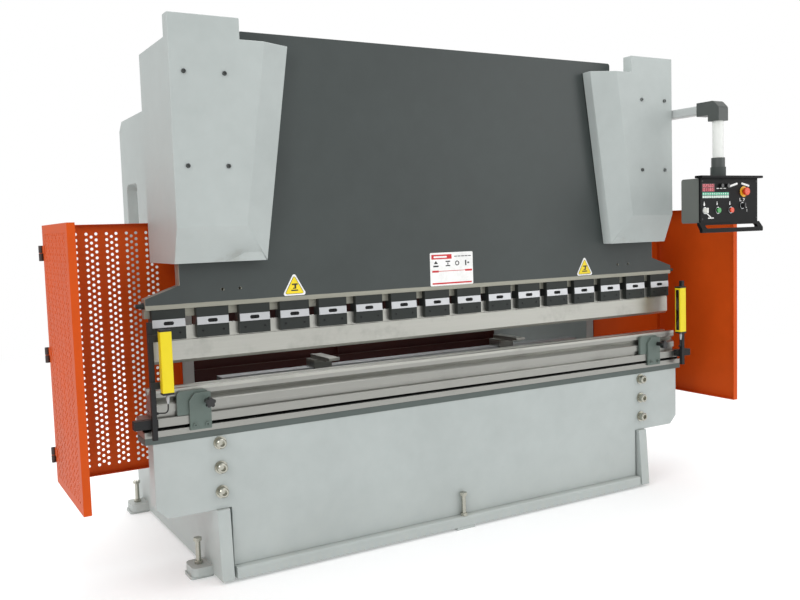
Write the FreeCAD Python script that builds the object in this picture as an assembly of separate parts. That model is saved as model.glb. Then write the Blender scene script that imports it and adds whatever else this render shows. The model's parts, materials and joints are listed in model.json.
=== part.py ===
"""Hydraulic press brake, 3200 mm bending length, as separate pieces.

Millimetres, +X along the bending line, -Y towards the operator, +Z up.
Lengths across the machine (Y) are measured from the tool plane, the vertical
plane through the punch tip.  Every finished shape is moved by ORIGIN_Y, so
that the origin lies on the floor under the middle of the whole machine.
"""

import math
import os

import FreeCAD
import Part

V = FreeCAD.Vector

# ---------------------------------------------------------------- fits
RUN_GAP = 0.3            # between pieces that slide past each other
SHAFT_GAP = 0.05         # radial, shaft in its bore

# ---------------------------------------------------------------- side frames
FRAME_GAP = 2550.0       # clear width between the side frames
FRAME_T = 60.0
FRAME_BACK = 1420.0
FRAME_BASE = 14.0        # underside, on the floor plates
FRAME_TOP_FRONT = 2400.0
FRAME_TOP_REAR = 2256.0
THROAT_DEPTH = 374.0
THROAT_TOP = 1400.0
ARM_FRONT = 60.0         # front edge of the arm behind the guides
POST_FRONT = -77.0
POST_TOE = -100.0
WINDOW_Y = (1075.0, 1315.0)
WINDOW_Z = (1000.0, 1890.0)

# ---------------------------------------------------------------- bed and table
BED_T = 90.0
BED_FRONT = -60.0
BED_HALF = 1605.0
BED_TOP = 684.0
BED_WING_Z = 343.0
BED_LEG_HALF = 1262.0
BED_CHAMFER = 50.0
BED_BOTTOM = 68.0
BED_BOLT_Z = (424.0, 537.0, 650.0)
TABLE_HALF = 1640.0
RAIL_H = 30.0
TABLE_H = 82.0
TABLE_HALF_W = 66.0
T_SLOT_H = 14.0
T_SLOT_UP = 28.0         # lip below the slot
T_SLOT_NECK = 12.0
T_SLOT_HEAD_H = 24.0
T_SLOT_HEAD_D = 12.0
TOOL_HALF = 1600.0
DIE_BASE_H = 22.0
DIE_BASE_HALF_W = 40.0
DIE_SIZE = 100.0
DIE_V = (50.0, 35.0, 24.0, 63.0)     # openings: top, front, bottom, rear
DIE_V_ANGLE = 85.0
LEDGE_FRONT = -100.0
LEDGE_BACK = 60.0

# ---------------------------------------------------------------- feet
FOOT_LEN = 135.0
FOOT_W = 94.0
FOOT_H = 40.0
FOOT_FRONT_Y = 32.0
FOOT_REAR_Y = 1200.0
LEVEL_BOLT_D = 24.0
LEVEL_BOLT_UP = 125.0
FLOOR_PLATE = 110.0

# ---------------------------------------------------------------- ram
RAM_T = 60.0
RAM_BOTTOM = 1268.0
RAM_TOP = 2501.0
RAM_HALF = 1600.0
RAM_END_H = 50.0
RAM_SLANT_H = 52.0
RAM_NECK_HALF = 1445.0
RAM_SHOULDER = 1600.0
RAM_BODY_HALF = 1120.0
STROKE = 115.0
RAM_HOLE_X = (1165.0, 1247.0)
RAM_HOLE_Z = 1343.0

# ---------------------------------------------------------------- upper tools
CLAMP_COUNT = 16
CLAMP_PITCH = 200.0
CLAMP_W = 150.0
CLAMP_FRONT = -34.0
CLAMP_BACK = 26.0
CLAMP_BLOCK_H = 78.0
CLAMP_H = 135.0
TONGUE_H = 38.0
TONGUE_FRONT = -4.0
POCKET_D = 5.0
WEDGE_H = 34.0
WEDGE_T = 7.0
PLATE_T = 26.0
TANG_T = 14.0
PUNCH_T = 26.0
PUNCH_TOP = 1127.0
PUNCH_TIP = 1025.0

# ---------------------------------------------------------------- cylinders
CYL_X = 1305.0
CYL_OD = 220.0
CYL_ID = 160.0
CYL_BASE = 1720.0
CYL_TOP = 2380.0
ROD_D = 90.0
GUIDE_TOP = 1530.0
CYL_FLANGE = CYL_OD + 16.0
CYL_MOUNT_T = 40.0

# ---------------------------------------------------------------- covers
COVER_T = 3.0
COVER_OUT = 1480.0
COVER_FRONT = -161.0
COVER_BACK = 319.0
COVER_TOP = 2435.0
COVER_IN_TOP = 1048.0
COVER_IN_LOW = 1164.0
COVER_FACE_LOW = 1625.0
COVER_BOTTOM = 1468.0
COVER_EDGE_Y = -98.0
COVER_EDGE_TOP = 910.0
COVER_EDGE_LOW = 1050.0
CAP_H = 92.0
CAP_IN = 1161.0
CAP_BACK = -95.0
COVER_BOLT_X = (1238.0, 1418.0)
COVER_BOLT_Z = (1886.0, 2284.0)

# ---------------------------------------------------------------- side guards
GUARD_X = 1940.0
GUARD_FRONT = -245.0
GUARD_BACK = 400.0
GUARD_Z = (475.0, 1655.0)
GUARD_T = 2.0
GUARD_FLANGE = 30.0
REAR_GUARD_Y = 1400.0
REAR_GUARD_Z = (420.0, 1480.0)
REAR_RIB_Z = (770.0, 1130.0)
HOLE_D = 14.0
HOLE_COLUMN = 22.0
HOLE_ROW = 28.0
HOLE_GROUP = 92.0
HINGE_Z = (600.0, 1065.0, 1530.0)
HINGE_H = 70.0
HINGE_PIN_D = 10.0

# ---------------------------------------------------------------- light curtain
CURTAIN_X = 1553.0
CURTAIN_Y = -150.0
CURTAIN_Z = (913.0, 1195.0)
CURTAIN_W = 50.0
CURTAIN_D = 42.0
POST_X = 1606.0
POST_Y = -111.0
POST_S = 22.0
POST_Z = (714.0, 1225.0)
GLAND_DROP = 84.0
CABLE_D = 6.0

# ---------------------------------------------------------------- pendant
ARM_X = 1520.0
ARM_PIVOT_Y = 380.0
ARM_Z = 2210.0
ARM_W = 60.0
ARM_H = 50.0
PENDANT_X = 1530.0
TUBE_Y = -460.0
TUBE_D = 60.0
ELBOW_HALF = 38.0
ELBOW_REACH = 118.0
ELBOW_DROP = 74.0
PENDANT_FRONT = -530.0
PENDANT_DEPTH = 140.0
PENDANT_W = 465.0
PENDANT_Z = (1516.0, 1828.0)
LIP = 15.0
HOOD_OUT = 26.0
ESTOP_X, ESTOP_Z, ESTOP_D, ESTOP_OUT = 116.0, 1740.0, 44.0, 28.0
BUTTON_D = 30.0
BUTTON_OUT = 12.0
START_X, STOP_X, BUTTON_Z = -95.0, 10.0, 1638.0
MODE_X = -199.0
HAND_X, HAND_Z = 105.0, 1662.0
ADJUST_X, ADJUST_Z = (-73.0, -25.0), 1773.0
ADJUST_D = 22.0
STEM_D = 16.0

# ---------------------------------------------------------------- die brackets
BRACKET_X = (-1391.0, 1405.0)
BRACKET_W = 98.0
BRACKET_T = 12.0
BRACKET_Z = (728.0, 893.0)
KNOB_D = 48.0
KNOB_OUT = 62.0
KNOB_T = 26.0
KNOB_Z = 852.0
KNOB_DX = 30.0

# ---------------------------------------------------------------- inside
SHAFT_D = 110.0
SHAFT_Y = 250.0
SHAFT_Z = 1500.0
CRANK_R = 180.0
CRANK_X = 1180.0
CRANK_T = 40.0
CRANK_PIN_D = 40.0
TANK_Y = (560.0, 1040.0)
TANK_Z = (1700.0, 2080.0)
VALVE_X = -160.0
VALVE_W = 200.0
VALVE_Y = (660.0, 820.0)
MOTOR_X = 300.0
MOTOR_Y = 860.0
PIPE_Y = 685.0
RAIL_X = 800.0
RAIL_W = 90.0
RAIL_Y = (72.0, 900.0)
RAIL_Z = (640.0, 760.0)
GAUGE_Y = 330.0
GAUGE_Z = (800.0, 880.0)
GAUGE_HALF = 1150.0
GAUGE_DEPTH = 80.0
FINGER_X = 600.0
FINGER_Z = (918.0, 940.0)
CABINET_W = 280.0
CABINET_Y = (760.0, 1380.0)
CABINET_Z = (950.0, 1850.0)

# ---------------------------------------------------------------- derived
FRAME_IN = FRAME_GAP / 2
FRAME_OUT = FRAME_IN + FRAME_T
FRAME_MID = FRAME_IN + FRAME_T / 2
CABINET_X = (FRAME_OUT, FRAME_OUT + CABINET_W)
BED_BACK = BED_FRONT + BED_T
RAM_FRONT = -RAM_T / 2
RAM_BACK = RAM_T / 2
TABLE_Z0 = BED_TOP + RAIL_H
TABLE_TOP = TABLE_Z0 + TABLE_H
DIE_Z0 = TABLE_TOP + DIE_BASE_H
DIE_TOP = DIE_Z0 + DIE_SIZE
T_SLOT_Z = TABLE_Z0 + T_SLOT_UP + T_SLOT_H / 2
CLAMP_BOTTOM = RAM_BOTTOM - CLAMP_H
CLAMP_SEAT = RAM_BOTTOM - CLAMP_BLOCK_H
TONGUE_BOTTOM = RAM_BOTTOM - TONGUE_H
TOOL_X = [(i - (CLAMP_COUNT - 1) / 2) * CLAMP_PITCH for i in range(CLAMP_COUNT)]
FRONT_Y = PENDANT_FRONT - ESTOP_OUT
ORIGIN_Y = (FRONT_Y + FRAME_BACK) / 2
TABLE_FRONT = -TABLE_HALF_W
CYL_MOUNT_Y = CYL_FLANGE / 2
FRAME_STEP_Y = CYL_MOUNT_Y + CYL_MOUNT_T
CAP_TOP = COVER_TOP + CAP_H

SHAPES = {}


# ---------------------------------------------------------------- helpers
def box(x0, x1, y0, y1, z0, z1):
    """A block between two corners."""
    return Part.makeBox(x1 - x0, y1 - y0, z1 - z0, V(x0, y0, z0))


def rod(diameter, start, end):
    """A round bar from one point to another."""
    a, b = V(*start), V(*end)
    return Part.makeCylinder(diameter / 2, (b - a).Length, a, b - a)


def prism(points, start, end, axis):
    """An outline in the plane across an axis, extruded from start to end."""
    place = {
        "x": lambda p: V(start, p[0], p[1]),
        "y": lambda p: V(p[0], start, p[1]),
        "z": lambda p: V(p[0], p[1], start),
    }[axis]
    way = {"x": V(1, 0, 0), "y": V(0, 1, 0), "z": V(0, 0, 1)}[axis]
    wire = Part.makePolygon([place(p) for p in points] + [place(points[0])])
    return Part.Face(wire).extrude(way * (end - start))


def other_side(shape):
    """The mirror twin across the plane X = 0."""
    return shape.mirror(V(0, 0, 0), V(1, 0, 0))


def both_sides(shape):
    """A piece and its mirror twin, as two solids."""
    return [shape, other_side(shape)]


def rounded(shape, radius, axis):
    """Rounds the straight edges that run along an axis."""
    way = {"x": V(1, 0, 0), "y": V(0, 1, 0), "z": V(0, 0, 1)}[axis]
    edges = [
        e for e in shape.Edges
        if isinstance(e.Curve, Part.Line) and abs(e.tangentAt(e.FirstParameter).dot(way)) > 0.999
    ]
    return shape.makeFillet(radius, edges)


def round_corners(shape, radius, axis, spots):
    """Rounds the edges along an axis that pass through the named spots."""
    index = {"x": (1, 2), "y": (0, 2), "z": (0, 1)}[axis]
    chosen = []
    for edge in shape.Edges:
        a, b = edge.Vertexes[0].Point, edge.Vertexes[-1].Point
        if any(math.dist((a[index[0]], a[index[1]]), s) < 0.01
               and math.dist((b[index[0]], b[index[1]]), s) < 0.01 for s in spots):
            chosen.append(edge)
    return shape.makeFillet(radius, chosen)


def keep(name, *shapes):
    """Files the solids of one node under its name, moved to the origin."""
    solids = [s for shape in shapes for s in shape.Solids]
    whole = solids[0] if len(solids) == 1 else Part.makeCompound(solids)
    whole.translate(V(0, -ORIGIN_Y, 0))
    SHAPES[name] = whole


def socket_screw(diameter, length, head_d, head_h, at, way):
    """A socket-head screw: `at` is under the head and `way` points along the shank."""
    a, d = V(*at), V(*way)
    shank = Part.makeCylinder(diameter / 2, length, a, d)
    head = Part.makeCylinder(head_d / 2, head_h, a - d * head_h, d)
    head = head.makeChamfer(head_h * 0.12, [e for e in head.Edges
                                            if abs((e.CenterOfMass - (a - d * head_h)).Length) < 0.01
                                            and isinstance(e.Curve, Part.Circle)])
    socket = Part.makeCylinder(head_d * 0.28, head_h * 0.5, a - d * head_h, d)
    return head.cut(socket).fuse(shank).removeSplitter()


# ---------------------------------------------------------------- frame
def side_frame():
    """C-shaped side plate on the right: foot, bed notch, throat, arm and window."""
    outline = [
        (POST_TOE, FRAME_BASE),
        (POST_FRONT, BED_WING_Z),
        (BED_BACK, BED_WING_Z),
        (BED_BACK, BED_TOP),
        (THROAT_DEPTH, BED_TOP),
        (THROAT_DEPTH, THROAT_TOP),
        (ARM_FRONT, THROAT_TOP),
        (ARM_FRONT, CYL_BASE - 60),
        (FRAME_STEP_Y, CYL_BASE - 60),
        (FRAME_STEP_Y, FRAME_TOP_FRONT),
        (700, FRAME_TOP_FRONT),
        (860, FRAME_TOP_REAR),
        (FRAME_BACK - 60, FRAME_TOP_REAR),
        (FRAME_BACK, FRAME_TOP_REAR - 50),
        (FRAME_BACK, FRAME_BASE),
    ]
    plate = prism(outline, FRAME_IN, FRAME_OUT, "x")
    plate = round_corners(plate, 70, "x", [(THROAT_DEPTH, BED_TOP), (THROAT_DEPTH, THROAT_TOP)])
    window = box(FRAME_IN - 1, FRAME_OUT + 1, *WINDOW_Y, *WINDOW_Z)
    plate = plate.cut(rounded(window, 40, "x"))
    bore = SHAFT_D + 2 * SHAFT_GAP
    plate = plate.cut(rod(bore, (FRAME_IN - 1, SHAFT_Y, SHAFT_Z), (FRAME_OUT + 1, SHAFT_Y, SHAFT_Z)))
    for z in BED_BOLT_Z:
        plate = plate.cut(rod(30 + 2 * SHAFT_GAP, (FRAME_MID, BED_BACK - 1, z), (FRAME_MID, BED_BACK + 62, z)))
    return plate


def build_frame():
    """Side frames, bed, table, cross beam and the sill under the bed."""
    right = side_frame()
    keep("side_frame_right", right)
    keep("side_frame_left", other_side(right))

    outline = [
        (-BED_LEG_HALF, BED_BOTTOM), (BED_LEG_HALF, BED_BOTTOM),
        (BED_LEG_HALF, BED_WING_Z), (BED_HALF - BED_CHAMFER, BED_WING_Z),
        (BED_HALF, BED_WING_Z + BED_CHAMFER), (BED_HALF, BED_TOP),
        (-BED_HALF, BED_TOP), (-BED_HALF, BED_WING_Z + BED_CHAMFER),
        (-BED_HALF + BED_CHAMFER, BED_WING_Z), (-BED_LEG_HALF, BED_WING_Z),
    ]
    bed = prism(outline, BED_FRONT, BED_BACK, "y")
    for side in (-1, 1):
        for z in BED_BOLT_Z:
            bed = bed.cut(rod(30 + 2 * SHAFT_GAP, (side * FRAME_MID, BED_FRONT - 1, z),
                              (side * FRAME_MID, BED_BACK + 1, z)))
    keep("bed_front_plate", bed)

    bolts = []
    for side in (-1, 1):
        for z in BED_BOLT_Z:
            washer = rod(60, (side * FRAME_MID, BED_FRONT - 6, z), (side * FRAME_MID, BED_FRONT, z))
            hole = rod(30.6, (side * FRAME_MID, BED_FRONT - 7, z), (side * FRAME_MID, BED_FRONT + 1, z))
            bolts.append(washer.cut(hole))
            bolts.append(socket_screw(30, 150, 46, 30, (side * FRAME_MID, BED_FRONT - 6, z), (0, 1, 0)))
    keep("bed_bolts", *bolts)

    sill = box(-BED_LEG_HALF, BED_LEG_HALF, LEDGE_FRONT, LEDGE_BACK, FRAME_BASE, BED_BOTTOM)
    sill = round_corners(sill, 12, "x", [(LEDGE_FRONT, BED_BOTTOM)])
    sill = sill.cut(rod(LEVEL_BOLT_D + 2 * SHAFT_GAP, (0, LEDGE_FRONT + 20, 0), (0, LEDGE_FRONT + 20, 90)))
    keep("base_ledge", sill)

    beam = box(-FRAME_IN, FRAME_IN, 480, 620, 430, 640)
    beam = beam.cut(box(-FRAME_IN - 1, FRAME_IN + 1, 496, 604, 446, 641))
    rear = box(-FRAME_IN, FRAME_IN, 1180, 1300, 200, 330)
    rear = rear.cut(box(-FRAME_IN - 1, FRAME_IN + 1, 1192, 1301, 212, 318))
    top_tie = box(-FRAME_IN, FRAME_IN, 300, 420, 1760, 1960)
    top_tie = top_tie.cut(box(-FRAME_IN - 1, FRAME_IN + 1, 316, 421, 1776, 1944))
    keep("cross_beams", beam, rear, top_tie)

    rail = box(-TABLE_HALF, TABLE_HALF, TABLE_FRONT + 4, TABLE_HALF_W - 4, BED_TOP, TABLE_Z0)
    keep("table_rail", rail)

    table = box(-TABLE_HALF, TABLE_HALF, TABLE_FRONT, TABLE_HALF_W, TABLE_Z0, TABLE_TOP)
    slot = box(-TABLE_HALF - 1, TABLE_HALF + 1, TABLE_FRONT - 1, TABLE_FRONT + T_SLOT_NECK,
               T_SLOT_Z - T_SLOT_H / 2, T_SLOT_Z + T_SLOT_H / 2)
    head = box(-TABLE_HALF - 1, TABLE_HALF + 1, TABLE_FRONT + T_SLOT_NECK,
               TABLE_FRONT + T_SLOT_NECK + T_SLOT_HEAD_D,
               T_SLOT_Z - T_SLOT_HEAD_H / 2, T_SLOT_Z + T_SLOT_HEAD_H / 2)
    table = table.cut(slot.fuse(head))
    table = round_corners(table, 3, "x", [(TABLE_FRONT, TABLE_TOP), (TABLE_HALF_W, TABLE_TOP)])
    keep("table_plate", table)

    base = box(-TOOL_HALF, TOOL_HALF, -DIE_BASE_HALF_W, DIE_BASE_HALF_W, TABLE_TOP, DIE_Z0)
    keep("die_base", base)


def lower_die():
    """Square multi-V die with one groove in each of its four sides."""
    half = DIE_SIZE / 2
    mid = DIE_Z0 + half
    die = box(-TOOL_HALF, TOOL_HALF, -half, half, DIE_Z0, DIE_TOP)
    for turn, opening in enumerate(DIE_V):
        depth = opening / 2 / math.tan(math.radians(DIE_V_ANGLE / 2))
        groove = prism([(-opening / 2 - 1, half + 1.1), (opening / 2 + 1, half + 1.1), (0, half - depth)],
                       -TOOL_HALF - 1, TOOL_HALF + 1, "x")
        groove.translate(V(0, 0, mid))
        groove.rotate(V(0, 0, mid), V(1, 0, 0), 90.0 * turn)
        die = die.cut(groove)
    return die


def build_feet():
    """Foot blocks on the outer faces, floor plates under them, levelling bolts."""
    feet = []
    bolts = []
    for y0 in (FOOT_FRONT_Y, FOOT_REAR_Y):
        block = box(FRAME_OUT, FRAME_OUT + FOOT_W, y0, y0 + FOOT_LEN, FRAME_BASE, FRAME_BASE + FOOT_H)
        block = round_corners(block, 28, "z", [(FRAME_OUT + FOOT_W, y0), (FRAME_OUT + FOOT_W, y0 + FOOT_LEN)])
        x, y = FRAME_OUT + FOOT_W / 2, y0 + FOOT_LEN / 2
        block = block.cut(rod(LEVEL_BOLT_D + 2 * SHAFT_GAP, (x, y, 0), (x, y, 200)))
        plate = box(x - FLOOR_PLATE / 2, x + FLOOR_PLATE / 2, y - FLOOR_PLATE / 2, y + FLOOR_PLATE / 2,
                    0, FRAME_BASE)
        plate = rounded(plate, 12, "z")
        feet += both_sides(block) + both_sides(plate)
        bolts += both_sides(levelling_bolt(x, y, FRAME_BASE + FOOT_H))
    sill_plate = box(-FLOOR_PLATE / 2, FLOOR_PLATE / 2, LEDGE_FRONT, LEDGE_FRONT + FLOOR_PLATE, 0, FRAME_BASE)
    feet.append(sill_plate)
    bolts.append(levelling_bolt(0, LEDGE_FRONT + 20, BED_BOTTOM))
    keep("levelling_feet", *feet)
    keep("levelling_bolts", *bolts)


def levelling_bolt(x, y, face):
    """A long hexagon bolt that stands on its floor plate, with a lock nut on the block."""
    shank = rod(LEVEL_BOLT_D, (x, y, FRAME_BASE), (x, y, face + LEVEL_BOLT_UP - 15))
    corners = [(x + 20 * math.cos(math.radians(60 * i)), y + 20 * math.sin(math.radians(60 * i)))
               for i in range(6)]
    head = prism(corners, face + LEVEL_BOLT_UP - 15, face + LEVEL_BOLT_UP, "z")
    nut = prism(corners, face, face + 16, "z")
    return shank.fuse([head, nut]).removeSplitter()


# ---------------------------------------------------------------- ram and tools
def build_ram():
    """Ram plate with its cut-away ends, rods, end pins and slotted crank brackets."""
    end_top = RAM_BOTTOM + RAM_END_H
    half_outline = [
        (RAM_HALF, RAM_BOTTOM), (RAM_HALF, end_top),
        (RAM_NECK_HALF, end_top + RAM_SLANT_H), (RAM_NECK_HALF, RAM_SHOULDER),
        (RAM_BODY_HALF, RAM_SHOULDER), (RAM_BODY_HALF, RAM_TOP),
    ]
    outline = half_outline + [(-x, z) for x, z in reversed(half_outline)]
    ram = prism(outline, RAM_FRONT, RAM_BACK, "y")
    ram = ram.fuse(box(-RAM_HALF, RAM_HALF, TONGUE_FRONT, RAM_BACK, TONGUE_BOTTOM, RAM_BOTTOM)).removeSplitter()
    ram = round_corners(ram, 40, "y", [(RAM_BODY_HALF, RAM_SHOULDER), (-RAM_BODY_HALF, RAM_SHOULDER)])
    ram = round_corners(ram, 15, "y", [(RAM_BODY_HALF, RAM_TOP), (-RAM_BODY_HALF, RAM_TOP)])
    for side in (-1, 1):
        for x in RAM_HOLE_X:
            ram = ram.cut(rod(12, (side * x, RAM_FRONT - 1, RAM_HOLE_Z), (side * x, RAM_FRONT + 25, RAM_HOLE_Z)))
    keep("ram_plate", ram)

    block = box(CYL_X - 90, CYL_X + 90, -45, RAM_BACK, RAM_SHOULDER, RAM_SHOULDER + 50)
    shank = rod(ROD_D, (CYL_X, 0, RAM_SHOULDER + 50), (CYL_X, 0, CYL_BASE + 420))
    piston = rod(CYL_ID - 2 * SHAFT_GAP, (CYL_X, 0, CYL_BASE + 420), (CYL_X, 0, CYL_BASE + 500))
    keep("piston_rods", *both_sides(block.fuse([shank, piston]).removeSplitter()))

    z = RAM_BOTTOM + 20
    pin = rod(20, (RAM_HALF, -8, z), (RAM_HALF + 34, -8, z))
    pin = pin.fuse(rod(30, (RAM_HALF, -8, z), (RAM_HALF + 10, -8, z)))
    keep("ram_end_pins", *both_sides(pin.removeSplitter()))

    y1 = SHAFT_Y - CRANK_R + 40
    top = SHAFT_Z + STROKE / 2
    cheeks = []
    for x0 in (CRANK_X - CRANK_T / 2 - 22, CRANK_X + CRANK_T / 2 + 2):
        cheek = box(x0, x0 + 20, RAM_BACK, y1, top - 42, top + 42)
        slot = box(x0 - 1, x0 + 21, SHAFT_Y - CRANK_R - 12 - CRANK_PIN_D / 2,
                   SHAFT_Y - CRANK_R + 14 + CRANK_PIN_D / 2,
                   top - CRANK_PIN_D / 2 - 2, top + CRANK_PIN_D / 2 + 2)
        slot = slot.common(box(x0 - 1, x0 + 21, RAM_BACK + 8, y1 - 8, top - 60, top + 60))
        cheeks.append(cheek.cut(slot))
    keep("crank_brackets", *both_sides(Part.makeCompound(cheeks)))


def clamp_parts(x):
    """Body, wedge, front plate and screws of the punch clamp centred at x."""
    x0, x1 = x - CLAMP_W / 2, x + CLAMP_W / 2
    tang = TANG_T / 2 + SHAFT_GAP
    wedge_top = CLAMP_SEAT + WEDGE_H + 2
    outline = [
        (CLAMP_FRONT, RAM_BOTTOM), (TONGUE_FRONT, RAM_BOTTOM), (TONGUE_FRONT, TONGUE_BOTTOM),
        (CLAMP_BACK, TONGUE_BOTTOM), (CLAMP_BACK, CLAMP_BOTTOM),
        (tang, CLAMP_BOTTOM), (tang, CLAMP_SEAT), (CLAMP_FRONT + WEDGE_T, CLAMP_SEAT),
        (CLAMP_FRONT + WEDGE_T, wedge_top), (CLAMP_FRONT, wedge_top),
    ]
    body = prism(outline, x0, x1, "x")
    body = round_corners(body, 3, "x", [(CLAMP_FRONT, RAM_BOTTOM)])

    slot_w = 17.0
    wedge_out = CLAMP_FRONT - 3
    wedge = prism([(CLAMP_FRONT + WEDGE_T, CLAMP_SEAT), (wedge_out, CLAMP_SEAT), (CLAMP_FRONT, wedge_top - 1),
                   (CLAMP_FRONT + WEDGE_T, wedge_top - 1)], x0 + 2, x1 - 2, "x")
    mid = CLAMP_SEAT + WEDGE_H / 2
    pocket = rounded(box(x - 24, x + 22, wedge_out - 1, wedge_out + POCKET_D,
                         mid - slot_w / 2, mid + slot_w / 2), slot_w / 2 - 0.01, "y")
    screw_x = x + 22 - slot_w / 2
    wedge = wedge.cut(pocket).cut(rod(slot_w - 2, (screw_x, wedge_out, mid), (screw_x, CLAMP_FRONT + WEDGE_T + 1, mid)))

    front = box(x0, x1, CLAMP_FRONT, -tang, CLAMP_BOTTOM, CLAMP_SEAT)
    front = round_corners(front, 4, "x", [(CLAMP_FRONT, CLAMP_BOTTOM), (CLAMP_FRONT, CLAMP_SEAT)])

    screws = [rod(slot_w - 2, (screw_x, wedge_out + 1, mid), (screw_x, CLAMP_FRONT + WEDGE_T, mid))]
    z = CLAMP_BOTTOM + 30
    for dx in (-48, 48):
        front = front.cut(rod(11, (x + dx, CLAMP_FRONT - 1, z), (x + dx, CLAMP_FRONT + 7, z)))
        screws.append(rod(10, (x + dx, CLAMP_FRONT + 1, z), (x + dx, CLAMP_FRONT + 7, z)))
    return body, wedge, front, screws


def build_upper_tools():
    """Sixteen punch clamps in a row and the punch that they hold."""
    sets = [clamp_parts(x) for x in TOOL_X]
    keep("clamp_bodies", *[s[0] for s in sets])
    keep("clamp_wedges", *[s[1] for s in sets])
    keep("clamp_plates", *[s[2] for s in sets])
    keep("clamp_screws", *[screw for s in sets for screw in s[3]])

    tip = PUNCH_T / 2 / math.tan(math.radians(42.5))
    outline = [
        (-TANG_T / 2, CLAMP_SEAT), (TANG_T / 2, CLAMP_SEAT), (TANG_T / 2, PUNCH_TOP),
        (PUNCH_T / 2, PUNCH_TOP), (PUNCH_T / 2, PUNCH_TIP + tip), (0.8, PUNCH_TIP),
        (-0.8, PUNCH_TIP), (-PUNCH_T / 2, PUNCH_TIP + tip), (-PUNCH_T / 2, PUNCH_TOP),
        (-TANG_T / 2, PUNCH_TOP),
    ]
    keep("punch", prism(outline, -TOOL_HALF + 15, TOOL_HALF - 15, "x"))


# ---------------------------------------------------------------- hydraulics
def build_cylinders():
    """Cylinder barrels with two flanges, and the plates that carry them."""
    barrel = rod(CYL_OD, (CYL_X, 0, CYL_BASE), (CYL_X, 0, CYL_TOP))
    half = CYL_FLANGE / 2
    for z in (CYL_BASE + 20, CYL_TOP - 110):
        flange = box(CYL_X - half, CYL_X + half, -half + 10, half, z, z + 60)
        barrel = barrel.fuse(rounded(flange, 9, "z"))
    barrel = barrel.fuse(rod(120, (CYL_X, 0, CYL_TOP), (CYL_X, 0, CYL_TOP + 45)))
    barrel = barrel.cut(rod(ROD_D + 2 * SHAFT_GAP, (CYL_X, 0, CYL_BASE - 1), (CYL_X, 0, CYL_BASE + 61)))
    barrel = barrel.cut(rod(CYL_ID, (CYL_X, 0, CYL_BASE + 60), (CYL_X, 0, CYL_TOP - 40)))
    keep("cylinder_barrels", *both_sides(barrel.removeSplitter()))

    mount = box(CYL_X - 150, CYL_X + 150, CYL_MOUNT_Y, FRAME_STEP_Y, CYL_BASE - 40, CYL_TOP - 10)
    mount = rounded(mount, 12, "y")
    keep("cylinder_mounts", *both_sides(mount))

    guide = box(FRAME_IN, FRAME_OUT, RAM_BACK + RUN_GAP, ARM_FRONT, THROAT_TOP + 6, GUIDE_TOP)
    keep("ram_guides", *both_sides(guide))


def build_power_unit():
    """Oil tank between the frames, motor with pump on it, valve blocks and pipes."""
    tank = box(-FRAME_IN, FRAME_IN, *TANK_Y, *TANK_Z)
    inside = box(-FRAME_IN + 6, FRAME_IN - 6, TANK_Y[0] + 6, TANK_Y[1] - 6, TANK_Z[0] + 6, TANK_Z[1] - 6)
    tank = tank.cut(inside)
    tank = tank.cut(rod(92, (MOTOR_X, MOTOR_Y, TANK_Z[1] - 10), (MOTOR_X, MOTOR_Y, TANK_Z[1] + 10)))
    keep("oil_tank", tank)

    top = TANK_Z[1]
    x, y = MOTOR_X, MOTOR_Y
    motor = rod(250, (x, y, top + 40), (x, y, top + 330))
    motor = motor.fuse(rod(300, (x, y, top), (x, y, top + 40)))
    motor = motor.fuse(rod(262, (x, y, top + 330), (x, y, top + 385)))
    motor = motor.fuse(box(x - 60, x + 60, y - 160, y - 100, top + 120, top + 260))
    for i in range(24):
        a = math.radians(15 * i)
        fin = box(122, 138, -3, 3, top + 60, top + 310)
        fin.rotate(V(0, 0, 0), V(0, 0, 1), math.degrees(a))
        fin.translate(V(x, y, 0))
        motor = motor.fuse(fin)
    pump = rod(90, (x, y, top - 140), (x, y, top)).fuse(
        box(x - 55, x + 55, y - 55, y + 55, top - 260, top - 140))
    block = box(VALVE_X - VALVE_W / 2, VALVE_X + VALVE_W / 2, *VALVE_Y, top, top + 120)
    middle = sum(VALVE_Y) / 2
    for valve in (VALVE_X - 50, VALVE_X + 50):
        block = block.fuse(rod(50, (valve, VALVE_Y[1], top + 60), (valve, VALVE_Y[1] + 30, top + 60)))
        block = block.fuse(box(valve - 28, valve + 28, middle - 28, middle + 28, top + 120, top + 220))
    keep("power_unit", motor.removeSplitter(), pump.removeSplitter(), block.removeSplitter())

    pipes = []
    for side in (-1, 1):
        x0 = VALVE_X + side * VALVE_W / 2
        x1 = side * (CYL_X - 145)
        route = [(x0, PIPE_Y, top + 60), (x1, PIPE_Y, top + 60),
                 (x1, 260, top + 60), (x1, 260, CYL_TOP + 20),
                 (x1, 0, CYL_TOP + 20), (side * (CYL_X - 60), 0, CYL_TOP + 20)]
        pipes.append(pipe_run(route, 22, 40))
    keep("hydraulic_pipes", *pipes)


def pipe_run(points, diameter, radius):
    """A bent pipe: straight runs joined by tangent arcs of one radius."""
    nodes = [V(*p) for p in points]
    edges = []
    start = nodes[0]
    for before, corner, after in zip(nodes, nodes[1:], nodes[2:]):
        a = (before - corner).normalize()
        b = (after - corner).normalize()
        turn = math.pi - a.getAngle(b)
        reach = radius * math.tan(turn / 2)
        p, q = corner + a * reach, corner + b * reach
        inward = (a + b).normalize()
        centre = corner + inward * (radius / math.cos(turn / 2))
        middle = centre - inward * radius
        edges.append(Part.LineSegment(start, p).toShape())
        edges.append(Part.Arc(p, middle, q).toShape())
        start = q
    edges.append(Part.LineSegment(start, nodes[-1]).toShape())
    path = Part.Wire(edges)
    ring = Part.Wire(Part.makeCircle(diameter / 2, nodes[0], nodes[1] - nodes[0]))
    return path.makePipeShell([ring], True, False)


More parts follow.
